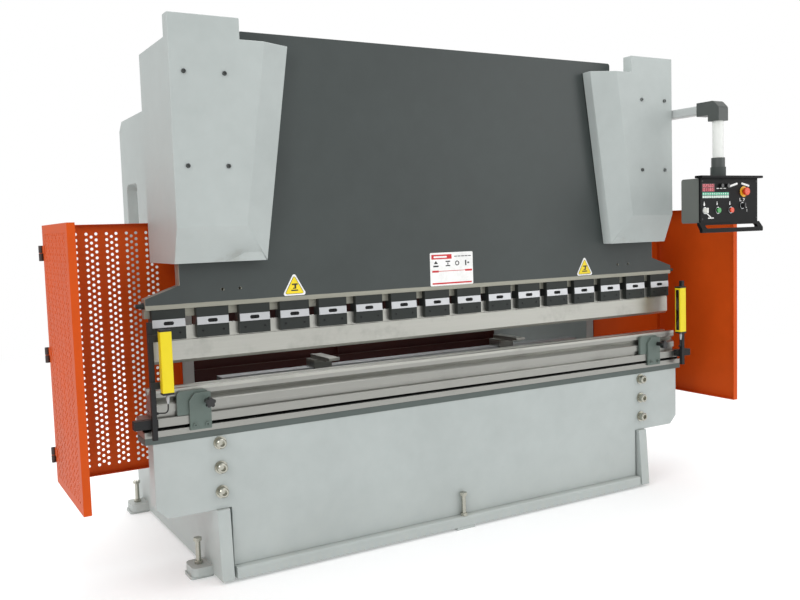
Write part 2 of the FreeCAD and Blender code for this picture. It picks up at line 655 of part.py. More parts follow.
# ---------------------------------------------------------------- covers
def cover_hull(inset, back, bottom_drop):
    """Closed solid behind the folded front of a cover, every face moved in by `inset`."""
    out = COVER_OUT - inset
    front = COVER_FRONT + inset
    edge = COVER_EDGE_Y + inset
    top = COVER_TOP - inset
    low = COVER_BOTTOM - bottom_drop
    face_low = COVER_FACE_LOW + inset
    a, b = (out, front, top), (COVER_IN_TOP + inset, front, top)
    c, d = (COVER_IN_LOW + inset, front, face_low), (out, front, face_low)
    e, f = (COVER_EDGE_TOP + inset, edge, top), (COVER_EDGE_LOW + inset, edge, low)
    g = (out, edge, low)
    h, i = (COVER_EDGE_TOP + inset, back, top), (COVER_EDGE_LOW + inset, back, low)
    j, k = (out, back, low), (out, back, top)
    loops = [(a, b, c, d), (b, e, f), (b, f, c), (d, c, f, g), (e, h, i, f), (a, k, h, e, b),
             (g, j, k, a, d), (f, i, j, g), (h, k, j, i)]
    faces = []
    for loop in loops:
        corners = [V(*p) for p in loop]
        faces.append(Part.Face(Part.makePolygon(corners + [corners[0]])))
    solid = Part.makeSolid(Part.makeShell(faces))
    return solid if solid.Volume > 0 else solid.reversed()


def cylinder_cover():
    """Folded sheet cover of the right-hand cylinder: front, side, back strip, top and cap."""
    rim = RAM_FRONT - 6
    shell = cover_hull(0, rim, 0).cut(cover_hull(COVER_T, rim + 10, COVER_T))
    out, t = COVER_OUT, COVER_T
    side = box(out - t, out, rim, COVER_BACK, COVER_BOTTOM, COVER_TOP)
    top = box(RAM_BODY_HALF + 20, out, rim, COVER_BACK, COVER_TOP - t, COVER_TOP)
    strip = box(FRAME_OUT, out, COVER_BACK - t, COVER_BACK, COVER_BOTTOM, FRAME_TOP_FRONT)
    cap = box(CAP_IN, out, COVER_FRONT, CAP_BACK, COVER_TOP, CAP_TOP)
    cap = cap.cut(box(CAP_IN + t, out - t, COVER_FRONT + t, CAP_BACK - t, COVER_TOP, CAP_TOP - t))
    return shell.fuse([side, top, strip, cap]).removeSplitter()


def build_covers():
    """Both cylinder covers and their button-head screws."""
    right = cylinder_cover()
    screws = []
    for x in COVER_BOLT_X:
        for z in COVER_BOLT_Z:
            head = rod(20, (x, COVER_FRONT - 7, z), (x, COVER_FRONT, z))
            head = head.makeFillet(2.5, [e for e in head.Edges if isinstance(e.Curve, Part.Circle)
                                         and abs(e.CenterOfMass.y - COVER_FRONT + 7) < 0.01])
            head = head.cut(rod(8, (x, COVER_FRONT - 8, z), (x, COVER_FRONT - 3, z)))
            shank = rod(10, (x, COVER_FRONT, z), (x, COVER_FRONT + 22, z))
            right = right.cut(rod(10, (x, COVER_FRONT - 1, z), (x, COVER_FRONT + 5, z)))
            screws += both_sides(head.fuse(shank).removeSplitter())
    keep("cylinder_cover_right", right)
    keep("cylinder_cover_left", other_side(right))
    keep("cover_screws", *screws)


# ---------------------------------------------------------------- side guards
def perforated(width, height, margin):
    """Sheet face in X and Y from the origin, with groups of three staggered hole columns."""
    outline = [V(0, 0, 0), V(width, 0, 0), V(width, height, 0), V(0, height, 0)]
    outer = Part.makePolygon(outline + [outline[0]])
    groups = int((width - 2 * margin) // HOLE_GROUP)
    rows = int((height - 2 * margin) // HOLE_ROW)
    first = (width - (groups - 1) * HOLE_GROUP) / 2 - HOLE_COLUMN
    low = (height - (rows - 1) * HOLE_ROW) / 2
    holes = []
    for group in range(groups):
        for column in range(3):
            for row in range(rows - (column % 2)):
                x = first + group * HOLE_GROUP + column * HOLE_COLUMN
                y = low + row * HOLE_ROW + (column % 2) * HOLE_ROW / 2
                holes.append(Part.Wire(Part.makeCircle(HOLE_D / 2, V(x, y, 0), V(0, 0, -1))))
    return Part.Face([outer] + holes)


def hinge_half(z, fixed):
    """One half of a guard hinge: leaf and knuckle, with the pin on the fixed half."""
    x, y = GUARD_X + 8, GUARD_BACK - 6
    r = 9
    if fixed:
        z0, z1 = z - HINGE_H / 2, z
        leaf = box(GUARD_X - 60, x, GUARD_BACK, GUARD_BACK + 3, z0, z1)
        solid = rod(2 * r, (x, y, z0), (x, y, z1)).fuse([leaf, rod(HINGE_PIN_D, (x, y, z0), (x, y, z + HINGE_H / 2))])
    else:
        z0, z1 = z + RUN_GAP, z + HINGE_H / 2
        leaf = box(GUARD_X, GUARD_X + 3, GUARD_BACK - 70, y, z0, z1)
        solid = rod(2 * r, (x, y, z0), (x, y, z1)).fuse(leaf)
        solid = solid.cut(rod(HINGE_PIN_D + 2 * SHAFT_GAP, (x, y, z0 - 1), (x, y, z1 + 1)))
    return solid.removeSplitter()


def build_guards():
    """Fixed rear panels, swinging side doors and the halves of their hinges.

    The left guard is perforated sheet, and the right one and the rear one are plain sheet.
    """
    z0, z1 = GUARD_Z
    t, f = GUARD_T, GUARD_FLANGE

    width = GUARD_X - 10 - FRAME_OUT
    sheet = perforated(width, z1 - z0, 26).extrude(V(0, 0, t))
    sheet.rotate(V(0, 0, 0), V(1, 0, 0), 90)
    sheet.translate(V(FRAME_OUT, GUARD_BACK, z0))
    x0, x1 = FRAME_OUT, GUARD_X - 10
    plain = box(x0, x1, GUARD_BACK - t, GUARD_BACK, z0, z1)
    folds = [box(x0, x1, GUARD_BACK - f, GUARD_BACK - t, z1 - t, z1),
             box(x0, x1, GUARD_BACK - f, GUARD_BACK - t, z0, z0 + t),
             box(x0, x0 + t, GUARD_BACK - f, GUARD_BACK - t, z0 + t, z1 - t),
             box(x1 - t, x1, GUARD_BACK - f, GUARD_BACK - t, z0 + t, z1 - t)]
    fixed = [hinge_half(z, True) for z in HINGE_Z]
    keep("guard_panel_right", plain.fuse(folds).removeSplitter(), *fixed)
    keep("guard_panel_left", *both_sides(Part.makeCompound([sheet.fuse(folds)] + fixed))[1:])

    y0, y1 = GUARD_FRONT, GUARD_BACK - 17
    sheet = perforated(y1 - y0, z1 - z0, 26).extrude(V(0, 0, t))
    sheet.rotate(V(0, 0, 0), V(1, 0, 0), 90)
    sheet.rotate(V(0, 0, 0), V(0, 0, 1), 90)
    sheet.translate(V(GUARD_X - t, y0, z0))
    xi = GUARD_X - t
    folds = [box(xi - f, xi, y0, y1 - f, z1 - t, z1),
             box(xi - f, xi, y0, y1 - f, z0, z0 + t),
             box(xi - f, xi, y0, y0 + t, z0 + t, z1 - t)]
    rear = []
    z0r, z1r = REAR_GUARD_Z
    for side in (-1, 1):
        a, b = sorted((side * FRAME_IN, side * RUN_GAP))
        tray = box(a, b, REAR_GUARD_Y - f, REAR_GUARD_Y, z0r, z1r)
        tray = tray.cut(box(a + t, b - t, REAR_GUARD_Y - f - 1, REAR_GUARD_Y - t, z0r + t, z1r - t))
        ribs = [box(a + t, b - t, REAR_GUARD_Y - f, REAR_GUARD_Y - t, z - t, z) for z in REAR_RIB_Z]
        rear.append(tray.fuse(ribs).removeSplitter())
    rear.append(box(-40, 40, REAR_GUARD_Y, REAR_GUARD_Y + 4, z0r + 20, z1r - 20))
    keep("rear_guard", *rear)

    plain = box(GUARD_X - t, GUARD_X, y0, y1, z0, z1)
    swinging = [hinge_half(z, False) for z in HINGE_Z]
    keep("guard_door_right", plain.fuse(folds).removeSplitter(), *swinging)
    keep("guard_door_left", *both_sides(Part.makeCompound([sheet.fuse(folds)] + swinging))[1:])


# ---------------------------------------------------------------- light curtain
def build_light_curtains():
    """Posts with their table blocks, light bars, and the short cable of each bar."""
    posts, bars, cables = [], [], []
    half = POST_S / 2
    for side in (-1, 1):
        post = box(POST_X - half, POST_X + half, POST_Y - half, POST_Y + half, *POST_Z)
        post = rounded(post, 2, "z")
        block = box(POST_X - 20, POST_X + 84, POST_Y + half, TABLE_FRONT, 762, 802)
        block = rounded(block, 4, "y")
        posts += [post, block]
        for z in (CURTAIN_Z[0] + 24, CURTAIN_Z[1] - 54):
            posts.append(box(CURTAIN_X - 15, POST_X + half, CURTAIN_Y + CURTAIN_D / 2, POST_Y - half, z, z + 30))
        gland_z = CURTAIN_Z[0] - GLAND_DROP
        gland = rod(12, (POST_X - half - 8, POST_Y, gland_z), (POST_X - half, POST_Y, gland_z))
        posts.append(gland)

        w, d = CURTAIN_W / 2, CURTAIN_D / 2
        z0, z1 = CURTAIN_Z
        bar = rounded(box(CURTAIN_X - w, CURTAIN_X + w, CURTAIN_Y - d, CURTAIN_Y + d, z0 + 8, z1 - 8), 4, "z")
        window = box(CURTAIN_X - w - 1, CURTAIN_X - w + 3, CURTAIN_Y - 12, CURTAIN_Y + 12, z0 + 20, z1 - 20)
        bar = bar.cut(window)
        lens = box(CURTAIN_X - w + 1, CURTAIN_X - w + 3, CURTAIN_Y - 12, CURTAIN_Y + 12, z0 + 20, z1 - 20)
        caps = [rounded(box(CURTAIN_X - w - 1, CURTAIN_X + w + 1, CURTAIN_Y - d - 1, CURTAIN_Y + d,
                            z, z + 8), 4, "z") for z in (z0, z1 - 8)]
        plug = rod(15, (CURTAIN_X, CURTAIN_Y, z0 - 40), (CURTAIN_X, CURTAIN_Y, z0))
        bars += [bar, lens, plug] + caps
        cable = rounded_tube(cable_route(), CABLE_D)
        cables.append(cable)
    for name, made in (("light_curtain_posts", posts), ("light_curtain_bars", bars)):
        one = made[:len(made) // 2]
        keep(name, *one, *[other_side(s) for s in one])
    keep("light_curtain_cable_right", cables[0])
    keep("light_curtain_cable_left", other_side(cables[1]))


def cable_route():
    """Corner points of a light bar's cable, from its plug to the gland on the post."""
    x, y, z = CURTAIN_X, CURTAIN_Y, CURTAIN_Z[0] - 40
    end_x = POST_X - POST_S / 2 - 8
    end_z = CURTAIN_Z[0] - GLAND_DROP
    return [(x, y, z), (x, y, z - 17), (x + 1, y + 5, z - 31), (x + 6, y + 16, end_z + 3),
            (x + 13, y + 29, end_z), (x + 22, POST_Y, end_z), (end_x, POST_Y, end_z)]


def rounded_tube(points, diameter):
    """Tube along straight runs, with each arc as large as its two runs allow."""
    nodes = [V(*p) for p in points]
    edges = []
    start = nodes[0]
    radii = []
    for before, corner, after in zip(nodes, nodes[1:], nodes[2:]):
        a, b = before - corner, after - corner
        shorter = min(a.Length, b.Length)
        a.normalize()
        b.normalize()
        turn = math.pi - a.getAngle(b)
        reach = 0.45 * shorter
        radius = reach / math.tan(turn / 2)
        p, q = corner + a * reach, corner + b * reach
        inward = (a + b).normalize()
        centre = corner + inward * (radius / math.cos(turn / 2))
        edges.append(Part.LineSegment(start, p).toShape())
        edges.append(Part.Arc(p, centre - inward * radius, q).toShape())
        radii.append(round(radius, 1))
        start = q
    edges.append(Part.LineSegment(start, nodes[-1]).toShape())
    path = Part.Wire(edges)
    print("cable length", round(path.Length, 1), "radii", radii)
    ring = Part.Wire(Part.makeCircle(diameter / 2, nodes[0], nodes[1] - nodes[0]))
    return path.makePipeShell([ring], True, False)


# ---------------------------------------------------------------- pendant
def build_pendant():
    """Swinging arm on its bracket, and the turning operator box with its controls."""
    x, y, z = ARM_X, ARM_PIVOT_Y, ARM_Z
    lug = 25
    plate = box(FRAME_OUT, FRAME_OUT + 15, y - 60, y + 60, z - 85, z + 85)
    lugs = []
    for z0 in (z - ARM_H / 2 - RUN_GAP - 5 - lug, z + ARM_H / 2 + RUN_GAP + 5):
        bar = box(FRAME_OUT, x + 35, y - 35, y + 35, z0, z0 + lug)
        lugs.append(round_corners(bar, 30, "z", [(x + 35, y - 35), (x + 35, y + 35)]))
    pin = rod(24, (x, y, z - 60), (x, y, z + 60))
    keep("pendant_bracket", plate.fuse(lugs + [pin]).removeSplitter())

    w, h = ARM_W / 2, ARM_H / 2
    tube = box(x - w, x + w, TUBE_Y + 35, y - 30, z - h, z + h)
    tube = rounded(tube, 7, "y")
    tube = tube.cut(box(x - w + 4, x + w - 4, TUBE_Y + 30, y - 40, z - h + 4, z + h - 4))
    boss = rod(70, (x, y, z - h - 5), (x, y, z + h + 5))
    boss = boss.fuse(box(x - w, x + w, y - 34, y, z - h, z + h))
    boss = boss.cut(rod(24 + 2 * SHAFT_GAP, (x, y, z - h - 6), (x, y, z + h + 6)))
    arm = tube.fuse(boss).removeSplitter()
    e = ELBOW_HALF
    socket_end = TUBE_Y + ELBOW_REACH
    elbow = prism([(TUBE_Y - e, z - ELBOW_DROP), (TUBE_Y - e, z), (TUBE_Y, z + e), (socket_end, z + e),
                   (socket_end, z - e), (TUBE_Y + e, z - e), (TUBE_Y + e, z - ELBOW_DROP)], x - e, x + e, "x")
    elbow = round_corners(elbow, 24, "x", [(TUBE_Y - e, z), (TUBE_Y, z + e)])
    down = rod(TUBE_D, (x, TUBE_Y, 1925), (x, TUBE_Y, z - ELBOW_DROP))
    collar = rod(74, (x, TUBE_Y, 1880 + RUN_GAP), (x, TUBE_Y, 1932))
    bore = rod(40 + 2 * SHAFT_GAP, (x, TUBE_Y, 1870), (x, TUBE_Y, 1975))
    keep("pendant_arm", arm.cut(box(x - 40, x + 40, TUBE_Y - 40, socket_end, z - 60, z + 60)), elbow,
         down.fuse(collar).cut(bore).removeSplitter())

    px, (z0, z1) = PENDANT_X, PENDANT_Z
    half = PENDANT_W / 2
    front = PENDANT_FRONT
    panel = box(px - half, px + half, front, front + 12, z0 + 50, z1)
    out = front - HOOD_OUT
    hood = rounded(box(px - half - LIP, px + half + LIP, out, front + 26, z1 - 14, z1), 5, "x")
    handle = prism([(front, z0 + 56), (out, z0 + 22), (out, z0), (out + 20, z0), (out + 20, z0 + 14),
                    (front + 12, z0 + 44), (front + 12, z0 + 56)], px - half - LIP, px + half + LIP, "x")
    handle = round_corners(handle, 6, "x", [(out, z0), (out, z0 + 22), (out + 20, z0)])
    bezel = panel.fuse([hood, handle]).removeSplitter()
    bezel = bezel.cut(rounded(box(px - half + 22, px + half - 22, out - 5, front + 13, z0 + 24, z0 + 42), 8, "y"))
    housing = box(px - half + 6, px + half - 6, front + 12, front + PENDANT_DEPTH, z0 + 54, z1 - 14)
    housing = round_corners(housing, 14, "x", [(front + PENDANT_DEPTH, z1 - 14), (front + PENDANT_DEPTH, z0 + 54)])
    inside = box(px - half + 10, px + half - 10, front + 16, front + PENDANT_DEPTH - 4, z0 + 58, z1 - 18)
    housing = housing.cut(inside)
    neck = rod(84, (x, TUBE_Y, z1 - 14), (x, TUBE_Y, 1880))
    spigot = rod(40, (x, TUBE_Y, 1880), (x, TUBE_Y, 1970))
    neck = neck.fuse(spigot).removeSplitter()

    controls = [(ESTOP_X, ESTOP_Z), (START_X, BUTTON_Z), (STOP_X, BUTTON_Z), (MODE_X, BUTTON_Z), (HAND_X, HAND_Z)]
    stem = STEM_D + 2 * SHAFT_GAP
    for dx, cz in controls:
        hole = rod(stem, (px + dx, front - 1, cz), (px + dx, front + 17, cz))
        bezel, housing = bezel.cut(hole), housing.cut(hole)
    for dx in ADJUST_X:
        hole = rod(8 + 2 * SHAFT_GAP, (px + dx, front - 1, ADJUST_Z), (px + dx, front + 17, ADJUST_Z))
        bezel, housing = bezel.cut(hole), housing.cut(hole)
    keep("pendant_box", housing, bezel, neck)

    cx = px + ESTOP_X
    head = rod(ESTOP_D, (cx, front - ESTOP_OUT, ESTOP_Z), (cx, front - ESTOP_OUT + 14, ESTOP_Z))
    head = head.makeFillet(4, [e for e in head.Edges if isinstance(e.Curve, Part.Circle)
                               and abs(e.CenterOfMass.y - front + ESTOP_OUT) < 0.01])
    stalk = rod(STEM_D, (cx, front - ESTOP_OUT + 14, ESTOP_Z), (cx, front + 30, ESTOP_Z))
    keep("e_stop", head.fuse(stalk).removeSplitter())
    for name, dx in (("start_button", START_X), ("stop_button", STOP_X)):
        cx = px + dx
        head = rod(BUTTON_D, (cx, front - BUTTON_OUT, BUTTON_Z), (cx, front - BUTTON_OUT + 6, BUTTON_Z))
        head = head.makeFillet(1.5, [e for e in head.Edges if isinstance(e.Curve, Part.Circle)
                                     and abs(e.CenterOfMass.y - front + BUTTON_OUT) < 0.01])
        stalk = rod(STEM_D, (cx, front - BUTTON_OUT + 6, BUTTON_Z), (cx, front + 28, BUTTON_Z))
        keep(name, head.fuse(stalk).removeSplitter())
    for name, dx, cz in (("mode_selector", MODE_X, BUTTON_Z), ("hand_selector", HAND_X, HAND_Z)):
        cx = px + dx
        disc = rod(BUTTON_D, (cx, front - 8, cz), (cx, front - RUN_GAP, cz))
        grip = rounded(box(cx - 5, cx + 5, front - 22, front - 8, cz - 14, cz + 14), 2, "y")
        stalk = rod(STEM_D, (cx, front - 8, cz), (cx, front + 28, cz))
        keep(name, disc.fuse([grip, stalk]).removeSplitter())
    for name, dx in (("adjust_knob_left", ADJUST_X[0]), ("adjust_knob_right", ADJUST_X[1])):
        cx = px + dx
        knob = rod(ADJUST_D, (cx, front - 16, ADJUST_Z), (cx, front - RUN_GAP, ADJUST_Z))
        for i in range(12):
            a = math.radians(30 * i)
            knob = knob.cut(rod(2.4, (cx + ADJUST_D / 2 * math.cos(a), front - 17, ADJUST_Z + ADJUST_D / 2 * math.sin(a)),
                                (cx + ADJUST_D / 2 * math.cos(a), front - 5, ADJUST_Z + ADJUST_D / 2 * math.sin(a))))
        knob = knob.fuse(rod(8, (cx, front - 8, ADJUST_Z), (cx, front + 26, ADJUST_Z)))
        keep(name, knob.removeSplitter())


# ---------------------------------------------------------------- die brackets
def build_die_brackets():
    """Two support plates that slide in the table's T-slot, each with a clamping knob."""
    y1 = TABLE_FRONT - RUN_GAP
    y0 = y1 - BRACKET_T
    z0, z1 = BRACKET_Z
    for name, x in (("left", BRACKET_X[0]), ("right", BRACKET_X[1])):
        h = BRACKET_W / 2
        plate = prism([(x - h, z0), (x + h, z0), (x + h, z1), (x - h + 26, z1), (x - h, z1 - 32)], y0, y1, "y")
        cheek = box(x - h - 52, x + h - 10, y1, -DIE_SIZE / 2 - 2 * RUN_GAP, TABLE_TOP + RUN_GAP + 1, z1 + 12)
        cheek = round_corners(cheek, 20, "y", [(x - h - 52, z1 + 12), (x + h - 10, z1 + 12)])
        knob_x = x + KNOB_DX
        stem = 14 + 2 * SHAFT_GAP
        plate = plate.fuse(cheek).removeSplitter()
        plate = plate.cut(rod(stem, (knob_x, y0 - 1, KNOB_Z), (knob_x, 0, KNOB_Z)))
        bolts = []
        for dx in (-28, 28):
            neck = T_SLOT_H - 2 * RUN_GAP
            bolt = box(x + dx - 7, x + dx + 7, y1, y1 + T_SLOT_NECK + 2, T_SLOT_Z - neck / 2, T_SLOT_Z + neck / 2)
            head_y = TABLE_FRONT + T_SLOT_NECK + RUN_GAP
            head = box(x + dx - 10, x + dx + 10, head_y, head_y + 8, T_SLOT_Z - 10.5, T_SLOT_Z + 10.5)
            cap = rod(18, (x + dx, y0 - 10, T_SLOT_Z), (x + dx, y0, T_SLOT_Z))
            cap = cap.cut(rod(9, (x + dx, y0 - 11, T_SLOT_Z), (x + dx, y0 - 5, T_SLOT_Z)))
            bolts.append(bolt.fuse([head, cap, rod(12, (x + dx, y0 - 3, T_SLOT_Z), (x + dx, y1 + 1, T_SLOT_Z))])
                         .removeSplitter())
            plate = plate.cut(rod(12, (x + dx, y0 - 1, T_SLOT_Z), (x + dx, y1 + 1, T_SLOT_Z)))
        keep(f"die_bracket_{name}", plate, *bolts)

        tip = y0 - KNOB_OUT
        knob = rod(KNOB_D * 0.72, (knob_x, tip, KNOB_Z), (knob_x, tip + KNOB_T, KNOB_Z))
        for i in range(5):
            a = math.radians(72 * i + 18)
            lobe_x, lobe_z = knob_x + 15 * math.cos(a), KNOB_Z + 15 * math.sin(a)
            knob = knob.fuse(rod(18, (lobe_x, tip + 2, lobe_z), (lobe_x, tip + KNOB_T, lobe_z)))
        knob = knob.fuse([rod(24, (knob_x, tip + KNOB_T, KNOB_Z), (knob_x, y0 - RUN_GAP, KNOB_Z)),
                          rod(14, (knob_x, y0 - 2, KNOB_Z), (knob_x, y0 + 20, KNOB_Z))])
        keep(f"bracket_knob_{name}", knob.removeSplitter())


# ---------------------------------------------------------------- inside
def build_inside():
    """Torsion shaft that keeps the rods level, back gauge and electrical cabinet."""
    lift = STROKE / 2
    angle = math.asin(lift / CRANK_R)
    shaft = rod(SHAFT_D, (-FRAME_OUT - 8, SHAFT_Y, SHAFT_Z), (FRAME_OUT + 8, SHAFT_Y, SHAFT_Z))
    pin_y, pin_z = SHAFT_Y - CRANK_R * math.cos(angle), SHAFT_Z + lift
    for side in (-1, 1):
        x0 = side * CRANK_X - CRANK_T / 2
        web = box(x0, x0 + CRANK_T, SHAFT_Y - CRANK_R, SHAFT_Y, SHAFT_Z - 34, SHAFT_Z + 34)
        web = web.fuse(rod(76, (x0, SHAFT_Y - CRANK_R, SHAFT_Z), (x0 + CRANK_T, SHAFT_Y - CRANK_R, SHAFT_Z)))
        web.rotate(V(0, SHAFT_Y, SHAFT_Z), V(1, 0, 0), -math.degrees(angle))
        hub = rod(SHAFT_D + 50, (x0, SHAFT_Y, SHAFT_Z), (x0 + CRANK_T, SHAFT_Y, SHAFT_Z))
        pin = rod(CRANK_PIN_D, (x0 - 24, pin_y, pin_z), (x0 + CRANK_T + 24, pin_y, pin_z))
        shaft = shaft.fuse([web, hub, pin])
    keep("torsion_shaft", shaft.removeSplitter())

    rails, carriages = [], []
    for side in (-1, 1):
        x0, x1 = side * RAIL_X - RAIL_W / 2, side * RAIL_X + RAIL_W / 2
        rail = box(x0, x1, *RAIL_Y, *RAIL_Z).cut(box(x0 + 6, x1 - 6, RAIL_Y[0] + 6, RAIL_Y[1] - 6,
                                                    RAIL_Z[0] + 6, RAIL_Z[1] - 10))
        rails.append(rail)
        carriages.append(box(x0, x1, GAUGE_Y - 20, GAUGE_Y + GAUGE_DEPTH + 20, RAIL_Z[1] + RUN_GAP, GAUGE_Z[0]))
    motor = box(RAIL_X + RAIL_W / 2, RAIL_X + RAIL_W / 2 + 90, 760, 850, 650, 740)
    motor = rounded(motor, 8, "x").fuse(rod(70, (RAIL_X + RAIL_W / 2 + 90, 805, 695),
                                            (RAIL_X + RAIL_W / 2 + 190, 805, 695)))
    keep("back_gauge_rails", *rails, motor.removeSplitter())
    beam = box(-GAUGE_HALF, GAUGE_HALF, GAUGE_Y, GAUGE_Y + GAUGE_DEPTH, *GAUGE_Z)
    beam = beam.cut(box(-GAUGE_HALF - 1, GAUGE_HALF + 1, GAUGE_Y + 6, GAUGE_Y + GAUGE_DEPTH - 6,
                        GAUGE_Z[0] + 6, GAUGE_Z[1] - 6))
    keep("back_gauge_beam", beam, *carriages)
    for name, side in (("left", -1), ("right", 1)):
        x = side * FINGER_X
        foot = box(x - 50, x + 50, GAUGE_Y - 12, GAUGE_Y + GAUGE_DEPTH + 12, GAUGE_Z[1] + RUN_GAP, FINGER_Z[0])
        for y in (GAUGE_Y - 12, GAUGE_Y + GAUGE_DEPTH + RUN_GAP):
            foot = foot.fuse(box(x - 50, x + 50, y, y + 12 - RUN_GAP, GAUGE_Z[0] + 20, FINGER_Z[0]))
        bar = box(x - 30, x + 30, GAUGE_Y - 150, GAUGE_Y + GAUGE_DEPTH, *FINGER_Z)
        bar = bar.cut(box(x - 31, x + 31, GAUGE_Y - 151, GAUGE_Y - 110, FINGER_Z[0] - 1, FINGER_Z[0] + 8))
        keep(f"gauge_finger_{name}", foot.fuse(bar).removeSplitter())

    (x0, x1), (y0, y1), (z0, z1) = CABINET_X, CABINET_Y, CABINET_Z
    body = box(x0, x1, y0, y1, z0, z1).cut(box(x0 + 3, x1 + 1, y0 + 2, y1 - 2, z0 + 2, z1 - 2))
    board = box(x0 + 3, x0 + 8, y0 + 40, y1 - 40, z0 + 40, z1 - 40)
    pieces = [board]
    for row in range(3):
        for column in range(4):
            yc = y0 + 90 + column * 120
            zc = z0 + 110 + row * 250
            pieces.append(box(x0 + 8, x0 + 90, yc, yc + 80, zc, zc + 120))
    for z in (z0 + 120, z1 - 120):
        body = body.fuse([rod(16, (x1 + 14, y1 + 10, z - 30), (x1 + 14, y1 + 10, z)),
                          rod(8, (x1 + 14, y1 + 10, z), (x1 + 14, y1 + 10, z + 30)),
                          box(x1 - 40, x1 + 14, y1, y1 + 3, z - 30, z)])
    keep("electrical_cabinet", body.removeSplitter(), *pieces)
    door = box(x1 + RUN_GAP, x1 + 22, y0, y1 - 1, z0, z1)
    door = door.cut(box(x1, x1 + 20, y0 + 2, y1 - 3, z0 + 2, z1 - 2))
    for z in (z0 + 120, z1 - 120):
        knuckle = rod(16, (x1 + 14, y1 + 10, z + RUN_GAP), (x1 + 14, y1 + 10, z + 30))
        knuckle = knuckle.fuse(box(x1 + 14, x1 + 22, y1 - 20, y1 + 10, z + RUN_GAP, z + 30))
        knuckle = knuckle.cut(rod(8 + 2 * SHAFT_GAP, (x1 + 14, y1 + 10, z - 1), (x1 + 14, y1 + 10, z + 31)))
        door = door.fuse(knuckle)
    grip = rounded(box(x1 + 22, x1 + 40, y0 + 30, y0 + 50, 1380, 1480), 3, "z")
    keep("cabinet_door", door.fuse(grip).removeSplitter())


def main():
    """Builds every node and writes one STEP file for each."""
    build_frame()
    keep("lower_die", lower_die())
    build_feet()
    build_ram()
    build_upper_tools()
    build_cylinders()
    build_power_unit()
    build_covers()
    build_guards()
    build_light_curtains()
    build_pendant()
    build_die_brackets()
    build_inside()
    os.makedirs("parts", exist_ok=True)
    for name, shape in SHAPES.items():
        shape.exportStep(f"parts/{name}.step")
    print(len(SHAPES), "nodes")


if __name__ == "__main__":
    main()
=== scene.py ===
"""Looks of a hydraulic press brake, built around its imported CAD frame.

Lengths are metres in the frame of the CAD model: X runs along the bed, Y to the rear and Z up.
Heights and widths in the dataclasses are the machine's own sizes; Y sizes are measured from the
plane in which punch and die meet, and at() moves them into the frame.
"""

from __future__ import annotations

import json
import logging
import math
from dataclasses import dataclass
from enum import Enum

import bmesh
import bpy
import numpy as np
from mathutils import Matrix, Vector

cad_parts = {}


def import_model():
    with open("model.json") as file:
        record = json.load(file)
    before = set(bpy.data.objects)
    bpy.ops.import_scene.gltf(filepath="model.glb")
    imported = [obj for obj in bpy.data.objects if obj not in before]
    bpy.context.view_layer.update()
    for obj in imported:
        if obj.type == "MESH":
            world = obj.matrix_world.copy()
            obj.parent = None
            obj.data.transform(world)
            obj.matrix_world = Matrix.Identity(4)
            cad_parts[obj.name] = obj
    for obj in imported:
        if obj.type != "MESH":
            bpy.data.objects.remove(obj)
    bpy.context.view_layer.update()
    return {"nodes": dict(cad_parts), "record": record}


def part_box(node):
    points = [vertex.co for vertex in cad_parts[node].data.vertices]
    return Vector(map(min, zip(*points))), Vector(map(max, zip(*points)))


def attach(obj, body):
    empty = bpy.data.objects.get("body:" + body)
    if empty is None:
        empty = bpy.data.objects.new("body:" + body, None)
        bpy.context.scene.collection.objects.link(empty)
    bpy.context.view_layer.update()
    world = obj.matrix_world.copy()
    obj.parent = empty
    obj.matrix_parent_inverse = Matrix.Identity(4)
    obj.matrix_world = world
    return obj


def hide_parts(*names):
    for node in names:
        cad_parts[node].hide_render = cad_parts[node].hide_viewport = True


LOG = logging.getLogger("press_brake")
TOOL_PLANE = 0.431  # how far the tool plane lies in front of the frame's origin
SMOOTH_UNDER = math.radians(35)  # edges of new pieces under this angle are shaded smooth
SHARP_OVER = math.radians(20)  # edges of CAD nodes over this angle count as sharp
WELD = 1e-6  # corners of new pieces that are nearer than this are one
Colour = tuple[float, float, float]
Feed = "bpy.types.NodeSocket | float | tuple"


def at(x: float, y: float, z: float) -> tuple[float, float, float]:
    """Point in the frame, in metres, from millimetres with y measured from the tool plane."""
    return x / 1000, y / 1000 - TOOL_PLANE, z / 1000


def tint(red: int, green: int, blue: int) -> Colour:
    """Linear colour of an 8-bit one: each channel is raised to the display's curve."""
    levels = np.array([red, green, blue]) / 255
    low, high = levels / 12.92, ((levels + 0.055) / 1.055) ** 2.4
    return tuple(np.where(levels <= 0.04045, low, high).tolist())


SETTLED_DUST = tint(176, 172, 160)
RUBBED_STEEL = tint(150, 148, 140)
BARE_STEEL = (tint(128, 127, 116), tint(176, 175, 162))


class Axis(Enum):
    """Direction that a surface was ground or drawn along."""

    X = 0
    Y = 1
    Z = 2


class Body(Enum):
    """CAD bodies that new pieces ride on."""

    ROOT = "root"
    RAM = "ram"
    PENDANT = "pendant_box"
    DOOR_LEFT = "guard_door_left"
    DOOR_RIGHT = "guard_door_right"


